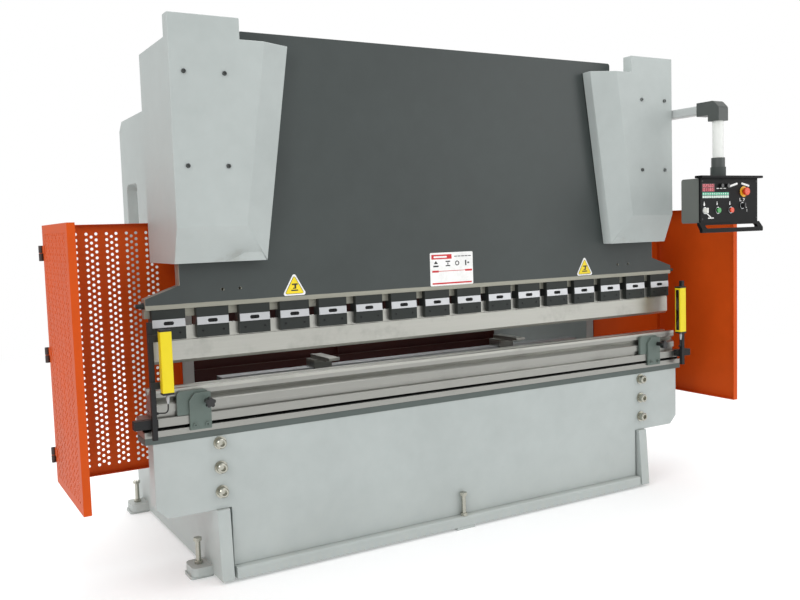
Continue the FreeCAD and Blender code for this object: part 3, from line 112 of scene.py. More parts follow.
# ---------------------------------------------------------------- shader boards
class Board:
    """Short way to place nodes in one tree and to join them."""

    def __init__(self, tree: bpy.types.NodeTree) -> None:
        """Keeps the tree that the nodes go into."""
        self.tree = tree

    def add(self, kind: str, feeds: dict | None = None, **settings: object) -> bpy.types.Node:
        """Places one node.

        Args:
            kind: The node's type, without the word ShaderNode.
            feeds: Value or socket for each input, by name or number.
            settings: Attributes of the node.

        Returns:
            The node.
        """
        node = self.tree.nodes.new("ShaderNode" + kind)
        for key, value in settings.items():
            setattr(node, key, value)
        self.wire(node, feeds or {})
        return node

    def wire(self, node: bpy.types.Node, feeds: dict[str | int, Feed]) -> None:
        """Feeds inputs of a node by name or number."""
        for key, value in feeds.items():
            self.feed(node.inputs[key], value)

    def feed(self, socket: bpy.types.NodeSocket, value: Feed) -> None:
        """Joins a socket to another one, or sets its constant."""
        if isinstance(value, bpy.types.NodeSocket):
            self.tree.links.new(value, socket)
        elif socket.type == "RGBA" and len(value) == 3:
            socket.default_value = (*value, 1.0)
        else:
            socket.default_value = value

    def math(self, operation: str, *values: Feed, clamp: bool = False) -> bpy.types.NodeSocket:
        """Result of one Math node on the values."""
        node = self.add("Math", dict(enumerate(values)), operation=operation, use_clamp=clamp)
        return node.outputs[0]

    def blend(self, factor: Feed, first: Feed, second: Feed) -> bpy.types.NodeSocket:
        """Colour between first and second."""
        node = self.add("Mix", {0: factor, 6: first, 7: second}, data_type="RGBA")
        return node.outputs[2]

    def span(self, value: Feed, low: float, high: float, to_low: float = 0.0,
             to_high: float = 1.0) -> bpy.types.NodeSocket:
        """Value moved from the range low..high to the range to_low..to_high, and kept in it."""
        feeds = {"Value": value, "From Min": low, "From Max": high, "To Min": to_low, "To Max": to_high}
        return self.add("MapRange", feeds).outputs[0]

    def noise(self, vector: Feed, scale: Feed, detail: float = 3.0, rough: float = 0.55) -> bpy.types.NodeSocket:
        """Grey value of a noise in space."""
        feeds = {"Vector": vector, "Scale": scale, "Detail": detail, "Roughness": rough}
        return self.add("TexNoise", feeds).outputs[0]

    def part(self, vector: Feed, index: int) -> bpy.types.NodeSocket:
        """One coordinate of a vector."""
        return self.add("SeparateXYZ", {0: vector}).outputs[index]

    def normal(self, index: int) -> bpy.types.NodeSocket:
        """One coordinate of the surface's normal."""
        return self.part(self.add("NewGeometry").outputs["Normal"], index)

    def relief(self, strength: float, distance: float, height: Feed) -> bpy.types.NodeSocket:
        """Normal of a surface on which the height stands as relief."""
        return self.add("Bump", {"Strength": strength, "Distance": distance, "Height": height}).outputs[0]


class Effects:
    """Node groups that several materials share. Each is built when it is first asked for."""

    def __init__(self) -> None:
        """Starts with no group built."""
        self.built: dict[str, bpy.types.NodeTree] = {}

    def place(self, board: Board, name: str, **feeds: Feed) -> bpy.types.NodeSocket:
        """First output of the named effect, placed in the board's tree with its own values."""
        if name not in self.built:
            self.built[name] = getattr(self, name)()
        node = board.add("Group", node_tree=self.built[name])
        board.wire(node, {key.capitalize(): value for key, value in feeds.items()})
        return node.outputs[0]

    @staticmethod
    def start(name: str, inputs: dict[str, float | tuple], output: str) -> tuple[Board, dict, bpy.types.NodeSocket]:
        """Opens a new group.

        Args:
            name: The group's name.
            inputs: Default of each input by name; a tuple makes it a vector.
            output: Name of its one output.

        Returns:
            Its board, its input sockets by name and the socket of its output.
        """
        tree = bpy.data.node_groups.new(name, "ShaderNodeTree")
        for key, value in inputs.items():
            kind = "NodeSocketVector" if isinstance(value, tuple) else "NodeSocketFloat"
            tree.interface.new_socket(key, in_out="INPUT", socket_type=kind).default_value = value
        tree.interface.new_socket(output, in_out="OUTPUT", socket_type="NodeSocketFloat")
        source, sink = tree.nodes.new("NodeGroupInput"), tree.nodes.new("NodeGroupOutput")
        return Board(tree), {key: source.outputs[key] for key in inputs}, sink.inputs[output]

    @classmethod
    def cloud(cls) -> bpy.types.NodeTree:
        """Broad, soft patches of tone: two noises of different size, added."""
        board, ins, out = cls.start("cloudy_tone", {"Vector": (0, 0, 0), "Scale": 2.0}, "Tone")
        broad = board.noise(ins["Vector"], ins["Scale"], 2.0)
        fine = board.noise(ins["Vector"], board.math("MULTIPLY", ins["Scale"], 7.0), 4.0)
        both = board.math("MULTIPLY_ADD", fine, 0.35, board.math("MULTIPLY", broad, 0.65))
        board.feed(out, board.span(both, 0.34, 0.66))
        return board.tree

    @classmethod
    def peel(cls) -> bpy.types.NodeTree:
        """Height of sprayed paint: rounded bumps a few millimetres apart with a finer haze."""
        board, ins, out = cls.start("paint_peel", {"Vector": (0, 0, 0), "Size": 0.004, "Haze": 0.3}, "Height")
        scale = board.math("DIVIDE", 1.0, ins["Size"])
        cells = board.add("TexVoronoi", {"Vector": ins["Vector"], "Scale": scale}, feature="SMOOTH_F1")
        haze = board.noise(ins["Vector"], board.math("MULTIPLY", scale, 3.0), 2.0)
        board.feed(out, board.math("MULTIPLY_ADD", haze, ins["Haze"], cells.outputs["Distance"]))
        return board.tree

    @classmethod
    def edge(cls) -> bpy.types.NodeTree:
        """Rubbed edges: where a rounded normal leaves the true one, broken up by noise."""
        board, ins, out = cls.start("edge_rub", {"Vector": (0, 0, 0), "Width": 0.002, "Amount": 0.5}, "Mask")
        rounded = board.add("Bevel", {"Radius": ins["Width"]}, samples=4)
        true = board.add("NewGeometry")
        dot = board.add("VectorMath", {0: rounded.outputs[0], 1: true.outputs["Normal"]}, operation="DOT_PRODUCT")
        turn = board.span(dot.outputs["Value"], 0.97, 0.80)
        patch = board.span(board.noise(ins["Vector"], 9.0, 6.0, 0.7), 0.46, 0.62)
        mask = board.math("MULTIPLY", board.math("MULTIPLY", turn, patch), ins["Amount"], clamp=True)
        board.feed(out, mask)
        return board.tree

    @classmethod
    def grain(cls) -> bpy.types.NodeTree:
        """Ground or drawn streaks: noise stretched along one axis, fine and coarse."""
        board, ins, out = cls.start("ground_grain", {"Vector": (0, 0, 0), "Stretch": (1, 1, 1)}, "Streak")
        long = board.add("VectorMath", {0: ins["Vector"], 1: ins["Stretch"]}, operation="MULTIPLY").outputs[0]
        fine, coarse = board.noise(long, 3.0, 3.0, 0.6), board.noise(long, 0.35, 2.0)
        board.feed(out, board.math("MULTIPLY_ADD", coarse, 0.4, board.math("MULTIPLY", fine, 0.6)))
        return board.tree

    @classmethod
    def dust(cls) -> bpy.types.NodeTree:
        """Dust on what faces up, and a little low down, with worn patches in it."""
        board, ins, out = cls.start("settled_dust", {"Vector": (0, 0, 0), "Amount": 0.3, "Low": 0.35}, "Mask")
        up = board.span(board.normal(2), 0.55, 0.98)
        foot = board.span(board.math("DIVIDE", board.part(ins["Vector"], 2), ins["Low"]), 1.0, 0.0, 0.0, 0.5)
        patch = board.span(board.noise(ins["Vector"], 6.0, 5.0, 0.65), 0.35, 0.7, 0.25, 1.0)
        held = board.math("MULTIPLY", board.math("MAXIMUM", up, foot), patch)
        board.feed(out, board.math("MULTIPLY", held, ins["Amount"], clamp=True))
        return board.tree


EFFECTS = Effects()


# ---------------------------------------------------------------- finishes
@dataclass(frozen=True)
class Zone:
    """Box of space, in millimetres from the tool plane, in which a finish has another colour.

    Attributes:
        colour: Colour inside the box.
        y: Front and rear limit.
        z: Low and high limit.
    """

    colour: Colour
    y: tuple[float, float] = (-2000.0, 4000.0)
    z: tuple[float, float] = (-100.0, 4000.0)

    def mask(self, board: Board, where: bpy.types.NodeSocket) -> bpy.types.NodeSocket:
        """One inside the box and nought outside it."""
        inside: Feed = 1.0
        for index, (low, high), shift in ((1, self.y, TOOL_PLANE), (2, self.z, 0.0)):
            place = board.part(where, index)
            over = board.math("GREATER_THAN", place, low / 1000 - shift)
            under = board.math("LESS_THAN", place, high / 1000 - shift)
            inside = board.math("MULTIPLY", board.math("MULTIPLY", over, under), inside)
        return inside


@dataclass(frozen=True)
class Finish:
    """What every finish has.

    Attributes:
        name: Name of its material.
        colour: Its colour.
        rough: Its roughness.
        zones: Places in which it has another colour.
        slot: Record slot that it belongs to, if it isn't one itself.
    """

    name: str
    colour: Colour
    rough: float = 0.5
    zones: tuple[Zone, ...] = ()
    slot: str = ""

    def zoned(self, board: Board, where: bpy.types.NodeSocket, colour: Feed) -> Feed:
        """The colour with that of each zone laid over it."""
        for zone in self.zones:
            colour = board.blend(zone.mask(board, where), colour, zone.colour)
        return colour

    def mix(self, board: Board, where: bpy.types.NodeSocket) -> dict[str, Feed]:
        """What each input of the Principled node gets, from the Object coordinates."""
        raise NotImplementedError

    def make(self) -> bpy.types.Material:
        """Builds the material."""
        material = bpy.data.materials.new(self.name)
        material.use_nodes = True
        material.diffuse_color = (*self.colour, 1.0)
        board = Board(material.node_tree)
        where = board.add("TexCoord").outputs["Object"]
        board.wire(material.node_tree.nodes["Principled BSDF"], self.mix(board, where))
        return material

    def shade(self, factor: float) -> Colour:
        """The finish's colour made darker or lighter."""
        return tuple(min(1.0, channel * factor) for channel in self.colour)


@dataclass(frozen=True)
class Paint(Finish):
    """Sprayed or powder-coated metal, rubbed to steel at its edges and dusty where it faces up.

    Attributes:
        swing: How far the tone varies, as a share of the colour.
        peel: Size of the paint's bumps, in metres.
        depth: Strength of the bumps.
        rub: How much of the edges is rubbed through.
        dust: How dusty the upper faces are.
        bare_below: Height under which the metal and the cut ends are left unpainted, or 0.
        coat: Clear gloss on top.
        gloss: Strength of its plain reflection.
    """

    swing: float = 0.06
    peel: float = 0.004
    depth: float = 0.12
    rub: float = 0.5
    dust: float = 0.25
    bare_below: float = 0.0
    coat: float = 0.0
    gloss: float = 0.4

    def mix(self, board: Board, where: bpy.types.NodeSocket) -> dict[str, Feed]:
        """Inputs of the Principled node."""
        tone = EFFECTS.place(board, "cloud", vector=where, scale=1.7)
        colour = board.blend(tone, self.shade(1 - self.swing), self.shade(1 + self.swing))
        colour = self.zoned(board, where, colour)
        dusty = EFFECTS.place(board, "dust", vector=where, amount=self.dust)
        colour = board.blend(dusty, colour, SETTLED_DUST)
        rubbed = EFFECTS.place(board, "edge", vector=where, amount=self.rub)
        if self.bare_below:
            wavy = board.math("MULTIPLY_ADD", board.noise(where, 14.0, 3.0), 0.003, board.part(where, 2))
            below = board.span(wavy, self.bare_below + 0.0022, self.bare_below + 0.0008)
            across = board.math("ABSOLUTE", board.normal(0))
            below = board.math("MAXIMUM", below, board.span(across, 0.25, 0.4))
            streak = EFFECTS.place(board, "grain", vector=where, stretch=(3, 300, 300))
            colour = board.blend(below, colour, board.blend(streak, *BARE_STEEL))
            rubbed = board.math("MAXIMUM", rubbed, board.math("MULTIPLY", below, 0.7))
            painted = board.math("SUBTRACT", 1.0, below)
            colour = board.blend(board.math("MULTIPLY", rubbed, painted), colour, RUBBED_STEEL)
        else:
            colour = board.blend(rubbed, colour, RUBBED_STEEL)
        spread = board.math("MULTIPLY_ADD", tone, 0.08, self.rough - 0.04)
        height = EFFECTS.place(board, "peel", vector=where, size=self.peel)
        return {"Base Color": colour, "Metallic": board.math("MULTIPLY", rubbed, 0.8),
                "Roughness": board.math("MULTIPLY_ADD", dusty, 0.3, spread, clamp=True),
                "Specular IOR Level": self.gloss, "Coat Weight": self.coat, "Coat Roughness": 0.22,
                "Normal": board.relief(self.depth, self.peel / 6, height)}


@dataclass(frozen=True)
class BareMetal(Finish):
    """Ground, drawn or blackened steel and aluminium, with streaks along one axis and a few stains.

    Attributes:
        along: Direction of the streaks.
        contrast: Difference of tone between streaks.
        stain: How much the oily stains darken it.
        metal: How metallic it reads.
        depth: Strength of the streaks' relief.
    """

    along: Axis = Axis.X
    contrast: float = 0.12
    stain: float = 0.25
    metal: float = 1.0
    depth: float = 0.08

    def mix(self, board: Board, where: bpy.types.NodeSocket) -> dict[str, Feed]:
        """Inputs of the Principled node."""
        stretch = tuple(4.0 if axis is self.along else 260.0 for axis in Axis)
        streak = EFFECTS.place(board, "grain", vector=where, stretch=stretch)
        colour = board.blend(streak, self.shade(1 - self.contrast), self.shade(1 + self.contrast))
        stains = board.span(board.noise(where, 5.0, 5.0, 0.65), 0.52, 0.72, 0.0, self.stain)
        colour = self.zoned(board, where, board.blend(stains, colour, self.shade(0.45)))
        rubbed = EFFECTS.place(board, "edge", vector=where, amount=0.8, width=0.0015)
        colour = board.blend(rubbed, colour, self.shade(1.35))
        smooth = board.math("MULTIPLY_ADD", streak, 0.22, self.rough - 0.11)
        return {"Base Color": colour, "Metallic": self.metal,
                "Roughness": board.math("MULTIPLY_ADD", stains, 0.5, smooth, clamp=True),
                "Normal": board.relief(self.depth, 0.0004, streak)}


@dataclass(frozen=True)
class Moulded(Finish):
    """Plastic or rubber with a fine moulded skin.

    Attributes:
        skin: Size of the skin's grain, in metres.
        depth: Strength of the skin.
        coat: Clear gloss on top.
    """

    skin: float = 0.0012
    depth: float = 0.1
    coat: float = 0.0

    def mix(self, board: Board, where: bpy.types.NodeSocket) -> dict[str, Feed]:
        """Inputs of the Principled node."""
        tone = EFFECTS.place(board, "cloud", vector=where, scale=12.0)
        height = EFFECTS.place(board, "peel", vector=where, size=self.skin)
        return {"Base Color": board.blend(tone, self.shade(0.9), self.shade(1.1)),
                "Roughness": board.math("MULTIPLY_ADD", tone, 0.1, self.rough - 0.05),
                "Coat Weight": self.coat, "Normal": board.relief(self.depth, self.skin / 5, height)}


@dataclass(frozen=True)
class Lamp(Finish):
    """Lit segments behind a window."""

    glow: float = 3.0

    def mix(self, board: Board, where: bpy.types.NodeSocket) -> dict[str, Feed]:
        """Inputs of the Principled node."""
        tone = EFFECTS.place(board, "cloud", vector=where, scale=60.0)
        colour = board.blend(tone, self.shade(0.85), self.colour)
        return {"Base Color": colour, "Emission Color": colour, "Emission Strength": self.glow,
                "Roughness": self.rough}


SLOT_FINISHES: dict[str, Finish] = {
    "machine_grey": Paint("light_machine_paint", tint(176, 183, 181), 0.44, rub=0.35, dust=0.3, depth=0.1),
    "ram_grey": Paint("dark_ram_paint", tint(61, 67, 66), 0.46, swing=0.11, rub=0.3, dust=0.15, bare_below=1.289),
    "ground_steel": BareMetal("ground_tool_steel", tint(184, 184, 177), 0.34, contrast=0.12, stain=0.35,
                              zones=(Zone(tint(158, 158, 153), z=(600, 905)),
                                     # The near-black zone, 741 to 757 mm high and set back behind the front face, is
                                     # painted shade inside a groove.
                                     Zone(tint(20, 21, 21), y=(-65, -30), z=(741, 757)))),
    "black_steel": BareMetal("blackened_clamp_steel", tint(44, 48, 46), 0.45, metal=0.5, contrast=0.15, stain=0.2),
    "wedge_steel": BareMetal("bright_wedge_steel", tint(196, 198, 200), 0.42, contrast=0.06, stain=0.15, metal=0.7,
                             zones=(Zone(tint(26, 27, 27), y=(-32.3, 100)),)),
    "screw_steel": BareMetal("zinc_plated_steel", tint(178, 177, 166), 0.24, along=Axis.Y, contrast=0.12, stain=0.3,
                             zones=(Zone(tint(92, 95, 94), z=(1400, 2500)),)),
    "guard_orange": Paint("orange_powder_coat", tint(202, 78, 17), 0.5, swing=0.07, rub=0.12, dust=0.04, gloss=0.15),
    # Rear guard: painted shade, a dark red-brown that stands in for the orange coat lying in shade behind the
    # machine.
    "guard_dark": Paint("orange_coat_in_painted_shade", tint(72, 26, 20), 0.5, swing=0.12, rub=0.3, dust=0.15),
    "clamp_black": BareMetal("blackened_screws", tint(34, 35, 36), 0.35, along=Axis.Y, metal=0.7),
    "curtain_yellow": Paint("yellow_powder_coat", tint(232, 210, 26), 0.38, swing=0.03, rub=0.1, dust=0.1),
    "post_black": Paint("black_powder_coat", tint(32, 33, 34), 0.45, rub=0.25, dust=0.15, gloss=0.3),
    "rail_grey": Paint("rail_grey_paint", tint(84, 93, 90), 0.45, rub=0.45, dust=0.25),
    "bracket_green": Paint("bracket_hammer_paint", tint(96, 109, 103), 0.42, peel=0.007, depth=0.3, rub=0.5),
    "knob_black": Moulded("phenolic_knob", tint(22, 22, 23), 0.32, coat=0.3),
    "pendant_grey": Paint(
        "pendant_box_paint", tint(106, 110, 106), 0.5, rub=0.2, dust=0.1, gloss=0.2,
        zones=(Zone(tint(13, 14, 15), y=(-600, -517.8)), Zone(tint(13, 14, 15), y=(-600, -503), z=(1813.8, 1828.4)),
               Zone(tint(74, 79, 77), z=(1828.5, 1990)))),
    "arm_steel": Paint(
        "pendant_arm_paint", tint(188, 192, 191), 0.4, rub=0.25, dust=0.15,
        zones=(Zone(tint(232, 234, 230), y=(-500, -425), z=(1932, 2137)),
               Zone(tint(78, 82, 80), y=(-500, -341.5), z=(2135.9, 2260)),
               Zone(tint(78, 82, 80), y=(-500, -425), z=(1870, 1932.2)))),
    "button_red": Moulded("red_button_cap", tint(216, 66, 28), 0.25, coat=0.2),
    "button_green": Moulded("green_button_cap", tint(46, 150, 70), 0.25, coat=0.4),
    "selector_white": Moulded("pale_selector", tint(228, 228, 222), 0.3, coat=0.3),
    "selector_black": Moulded("dark_selector", tint(28, 28, 30), 0.3, coat=0.3),
    "cable_rubber": Moulded("cable_jacket", tint(26, 26, 27), 0.6, skin=0.0008),
    "tank_grey": Paint("tank_paint", tint(174, 181, 179), 0.42, rub=0.35, dust=0.4),
    "unit_blue": Paint("motor_enamel", tint(46, 92, 128), 0.35, rub=0.35, dust=0.35, coat=0.2),
    "cylinder_black": Paint("cylinder_enamel", tint(52, 54, 56), 0.32, rub=0.3, dust=0.25, coat=0.2),
    "chrome_rod": BareMetal("hard_chrome", tint(216, 218, 220), 0.14, along=Axis.Z, contrast=0.03, stain=0.05),
    "pipe_steel": BareMetal("drawn_pipe", tint(176, 176, 170), 0.32, contrast=0.08, stain=0.2),
    "gauge_aluminium": BareMetal("anodised_beam", tint(196, 198, 200), 0.4, contrast=0.05, stain=0.1, metal=0.9),
    "cabinet_grey": Paint("cabinet_coat", tint(190, 193, 190), 0.45, peel=0.002, rub=0.2, dust=0.25),
}

PRINT = {"skin": 0.003, "depth": 0.03}

EXTRA_FINISHES: dict[str, Finish] = {
    "label_white": Moulded("label_white", tint(238, 238, 236), 0.35, slot="selector_white", **PRINT),
    "label_red": Moulded("label_red", tint(198, 34, 40), 0.35, slot="button_red", **PRINT),
    "label_ink": Moulded("label_ink", tint(24, 24, 26), 0.4, slot="selector_black", **PRINT),
    "sign_yellow": Moulded("sign_yellow", tint(240, 214, 30), 0.35, slot="curtain_yellow", **PRINT),
    "key_green": Moulded("key_green", tint(104, 190, 156), 0.35, slot="button_green", skin=0.001),
    "key_pale": Moulded("key_pale", tint(206, 222, 212), 0.35, slot="selector_white", skin=0.001),
    "display_glass": Moulded("display_glass", tint(150, 16, 44), 0.3, slot="button_red", skin=0.004, depth=0.02),
    "lit_red": Lamp("lit_segment", tint(255, 168, 170), 0.4, slot="button_red", glow=0.5),
    "ring_yellow": Moulded("stop_ring", tint(240, 178, 40), 0.35, slot="curtain_yellow"),
    "bezel_chrome": BareMetal("button_bezel", tint(200, 202, 204), 0.2, slot="screw_steel", along=Axis.Y,
                              contrast=0.04, stain=0.05),
    "lens_dark": Moulded("curtain_lens", tint(34, 10, 14), 0.12, slot="cable_rubber", coat=0.6),
    "cap_black": Moulded("curtain_cap", tint(24, 24, 25), 0.45, slot="cable_rubber"),
    "plug_grey": Moulded("curtain_plug", tint(168, 170, 170), 0.4, slot="selector_white"),
    "hinge_dark": Paint("hinge_paint", tint(58, 50, 48), 0.42, slot="post_black", rub=0.5, dust=0.1),
}


class Paintbox:
    """Materials by look: the name of a record slot or of an extra finish. Each is made once."""

    def __init__(self) -> None:
        """Starts with nothing mixed."""
        self.mixed: dict[str, bpy.types.Material] = {}

    def __getitem__(self, name: str) -> bpy.types.Material:
        """The material of a look."""
        if name not in self.mixed:
            self.mixed[name] = self.finish(name).make()
        return self.mixed[name]

    @staticmethod
    def finish(name: str) -> Finish:
        """The finish of a look."""
        return SLOT_FINISHES.get(name) or EXTRA_FINISHES[name]

    def dress(self, piece: bpy.types.Object, name: str, body: Body) -> None:
        """Gives a new object its material and the body that it rides on."""
        bpy.context.scene.collection.objects.link(piece)
        piece.data.materials.append(self[name])
        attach(piece, body.value)
        self.finish(name).slot or name


# ---------------------------------------------------------------- shapes
@dataclass(frozen=True)
class Shape:
    """Corners and faces of one or more closed forms."""

    points: np.ndarray
    faces: tuple[tuple[int, ...], ...]

    @staticmethod
    def loft(rings: np.ndarray) -> "Shape":
        """Skin through rings of equal count, closed at both ends.

        Face (i, j) joins points j and j + 1 of ring i to the same points of ring i + 1. The ends
        stay open if the last ring is the first one again.

        Args:
            rings: Array of rings by points by three.

        Returns:
            The closed form.
        """
        count, size = rings.shape[:2]
        i, j = np.meshgrid(np.arange(count - 1), np.arange(size), indexing="ij")
        k = (j + 1) % size
        quads = np.stack([i * size + j, i * size + k, (i + 1) * size + k, (i + 1) * size + j], axis=-1)
        faces = tuple(map(tuple, quads.reshape(-1, 4).tolist()))
        if not np.array_equal(rings[0], rings[-1]):
            faces += (tuple(range(size)), tuple(range((count - 1) * size, count * size)))
        return Shape(rings.reshape(-1, 3), faces)

    @staticmethod
    def sweep(x: np.ndarray, y: np.ndarray, z: np.ndarray) -> "Shape":
        """Loft of rings whose coordinates are given as arrays that broadcast to rings by points."""
        return Shape.loft(np.stack(np.broadcast_arrays(x, y, z), axis=-1))

    @staticmethod
    def joined(shapes: list["Shape"]) -> "Shape":
        """Several shapes as one."""
        faces: list[tuple[int, ...]] = []
        base = 0
        for shape in shapes:
            faces += [tuple(corner + base for corner in face) for face in shape.faces]
            base += len(shape.points)
        return Shape(np.concatenate([shape.points for shape in shapes]), tuple(faces))

    def mirrored(self) -> "Shape":
        """The same shape on the machine's other side."""
        return Shape(self.points * np.array([-1.0, 1.0, 1.0]), self.faces)

    def mesh(self, name: str) -> bpy.types.Mesh:
        """Blender mesh with joined corners, outward faces and sharp edges over SMOOTH_UNDER."""
        mesh = bpy.data.meshes.new(name)
        mesh.from_pydata(self.points.tolist(), [], list(self.faces))
        work = bmesh.new()
        work.from_mesh(mesh)
        bmesh.ops.remove_doubles(work, verts=work.verts, dist=WELD)
        bmesh.ops.recalc_face_normals(work, faces=work.faces)
        work.to_mesh(mesh)
        work.free()
        mesh.shade_smooth()
        mesh.set_sharp_from_angle(angle=SMOOTH_UNDER)
        return mesh

    def piece(self, name: str, paints: Paintbox, look: str, body: Body) -> bpy.types.Object:
        """Makes a Blender object of the shape.

        Args:
            name: Piece name.
            paints: Where its material comes from.
            look: Its look.
            body: Body that it rides on.

        Returns:
            The object.
        """
        piece = bpy.data.objects.new(name, self.mesh(name))
        paints.dress(piece, look, body)
        LOG.info("%s: %d faces on %s", name, len(piece.data.polygons), body.value)
        return piece


def rounded_box_line(width: float, height: float, corner: float, steps: int = 6) -> np.ndarray:
    """Outline of a rectangle with quarter-circle corners, round its middle: each corner's centre
    plus the radius turned through a quarter, sampled evenly."""
    corner = max(corner, 1e-5)
    turn = np.linspace(0, np.pi / 2, steps)[None, :] + np.arange(4)[:, None] * np.pi / 2
    sign = np.array([[1, 1], [-1, 1], [-1, -1], [1, -1]])
    middle = sign * (np.array([width, height]) / 2 - corner)
    line = middle[:, None, :] + corner * np.stack([np.cos(turn), np.sin(turn)], axis=-1)
    return line.reshape(-1, 2)


def rounded_triangle_line(base: float, height: float, corner: float, steps: int = 7) -> np.ndarray:
    """Outline of an upright triangle with rounded tips, round the middle of its height: each
    corner circle lies on the line that halves the corner, and its arc spans the outer turn."""
    tips = np.array([[0, height / 2], [-base / 2, -height / 2], [base / 2, -height / 2]])
    after, before = np.roll(tips, -1, axis=0) - tips, np.roll(tips, 1, axis=0) - tips
    after /= np.linalg.norm(after, axis=1, keepdims=True)
    before /= np.linalg.norm(before, axis=1, keepdims=True)
    inward = after + before
    inward /= np.linalg.norm(inward, axis=1, keepdims=True)
    half = np.arccos(np.clip((after * inward).sum(axis=1), -1, 1))
    middle = tips + inward * (corner / np.sin(half))[:, None]
    lean = np.arctan2(-inward[:, 1], -inward[:, 0])
    turn = lean[:, None] + np.linspace(-1, 1, steps)[None, :] * (np.pi / 2 - half)[:, None]
    line = middle[:, None, :] + corner * np.stack([np.cos(turn), np.sin(turn)], axis=-1)
    return line.reshape(-1, 2)


def face_plate(line: np.ndarray, middle: tuple[float, float], back: float, front: float,
               lip: float = 0.0003) -> Shape:
    """Thin plate that faces the front: its outline goes from the back to near the front, and the
    front is drawn in by the lip, so that its edge is rounded.

    Args:
        line: Outline in X and Z round zero, in metres.
        middle: Where zero goes, in X and Z.
        back: Y of its back.
        front: Y of its front.
        lip: How far the front edge is drawn in.

    Returns:
        The plate.
    """
    reach = np.abs(line).max(axis=0)
    inner = line * (1 - lip / np.maximum(reach, 1e-6))
    lines = np.stack([line, line, inner]) + np.array(middle)
    depth = np.array([back, front + min(lip, (back - front) / 2), front])
    return Shape.sweep(lines[..., 0], depth[:, None], lines[..., 1])


def turned(profile: list[tuple[float, float]], middle: tuple[float, float, float], axis: Axis = Axis.Y,
           steps: int = 32) -> Shape:
    """Solid of revolution: each profile point (radius, place along the axis) sweeps a full ring.

    Args:
        profile: Points from one end to the other.
        middle: Point on the axis where its place is zero.
        axis: Axis of turning.
        steps: Points in each ring.

    Returns:
        The closed form.
    """
    radius, place = np.array(profile).T
    turn = np.linspace(0, 2 * np.pi, steps, endpoint=False)
    parts = [radius[:, None] * np.cos(turn), radius[:, None] * np.sin(turn)]
    parts.insert(axis.value, place[:, None])
    return Shape.sweep(*(part + start for part, start in zip(parts, middle)))


def ring(inner: float, outer: float, thick: float, middle: tuple[float, float, float], steps: int = 40) -> Shape:
    """Flat ring that faces the front, with rounded outer lips: a closed section swept round Y."""
    lip = min(thick, outer - inner) * 0.35
    section = [(inner, 0), (outer, 0), (outer, -thick + lip), (outer - lip, -thick), (inner, -thick), (inner, 0)]
    return turned(section, middle, Axis.Y, steps)


def upright_bar(width: float, depth: float, corner: float, middle: tuple[float, float],
                levels: list[tuple[float, float]]) -> Shape:
    """Upright rounded bar: its outline stands at each level, drawn in by that level's inset.

    Args:
        width: Size in X.
        depth: Size in Y.
        corner: Radius of its corners.
        middle: Its axis in X and Y.
        levels: Height and inset of each ring, from the bottom.

    Returns:
        The bar.
    """
    line = rounded_box_line(width, depth, corner)
    height, inset = np.array(levels).T
    scale = 1 - inset[:, None] / (np.array([width, depth]) / 2)[None, :]
    lines = line[None] * scale[:, None] + np.array(middle)
    return Shape.sweep(lines[..., 0], lines[..., 1], height[:, None])


# ---------------------------------------------------------------- softened CAD parts
@dataclass(frozen=True)
class SoftEdge:
    """A CAD node shown with rounded edges, as folded sheet or broken machined edges have.

    Attributes:
        node: CAD node that it stands for.
        body: Body that it rides on.
        width: Width of the rounding, in metres.
        segments: Faces across the rounding.
    """

    node: str
    body: Body
    width: float
    segments: int = 2


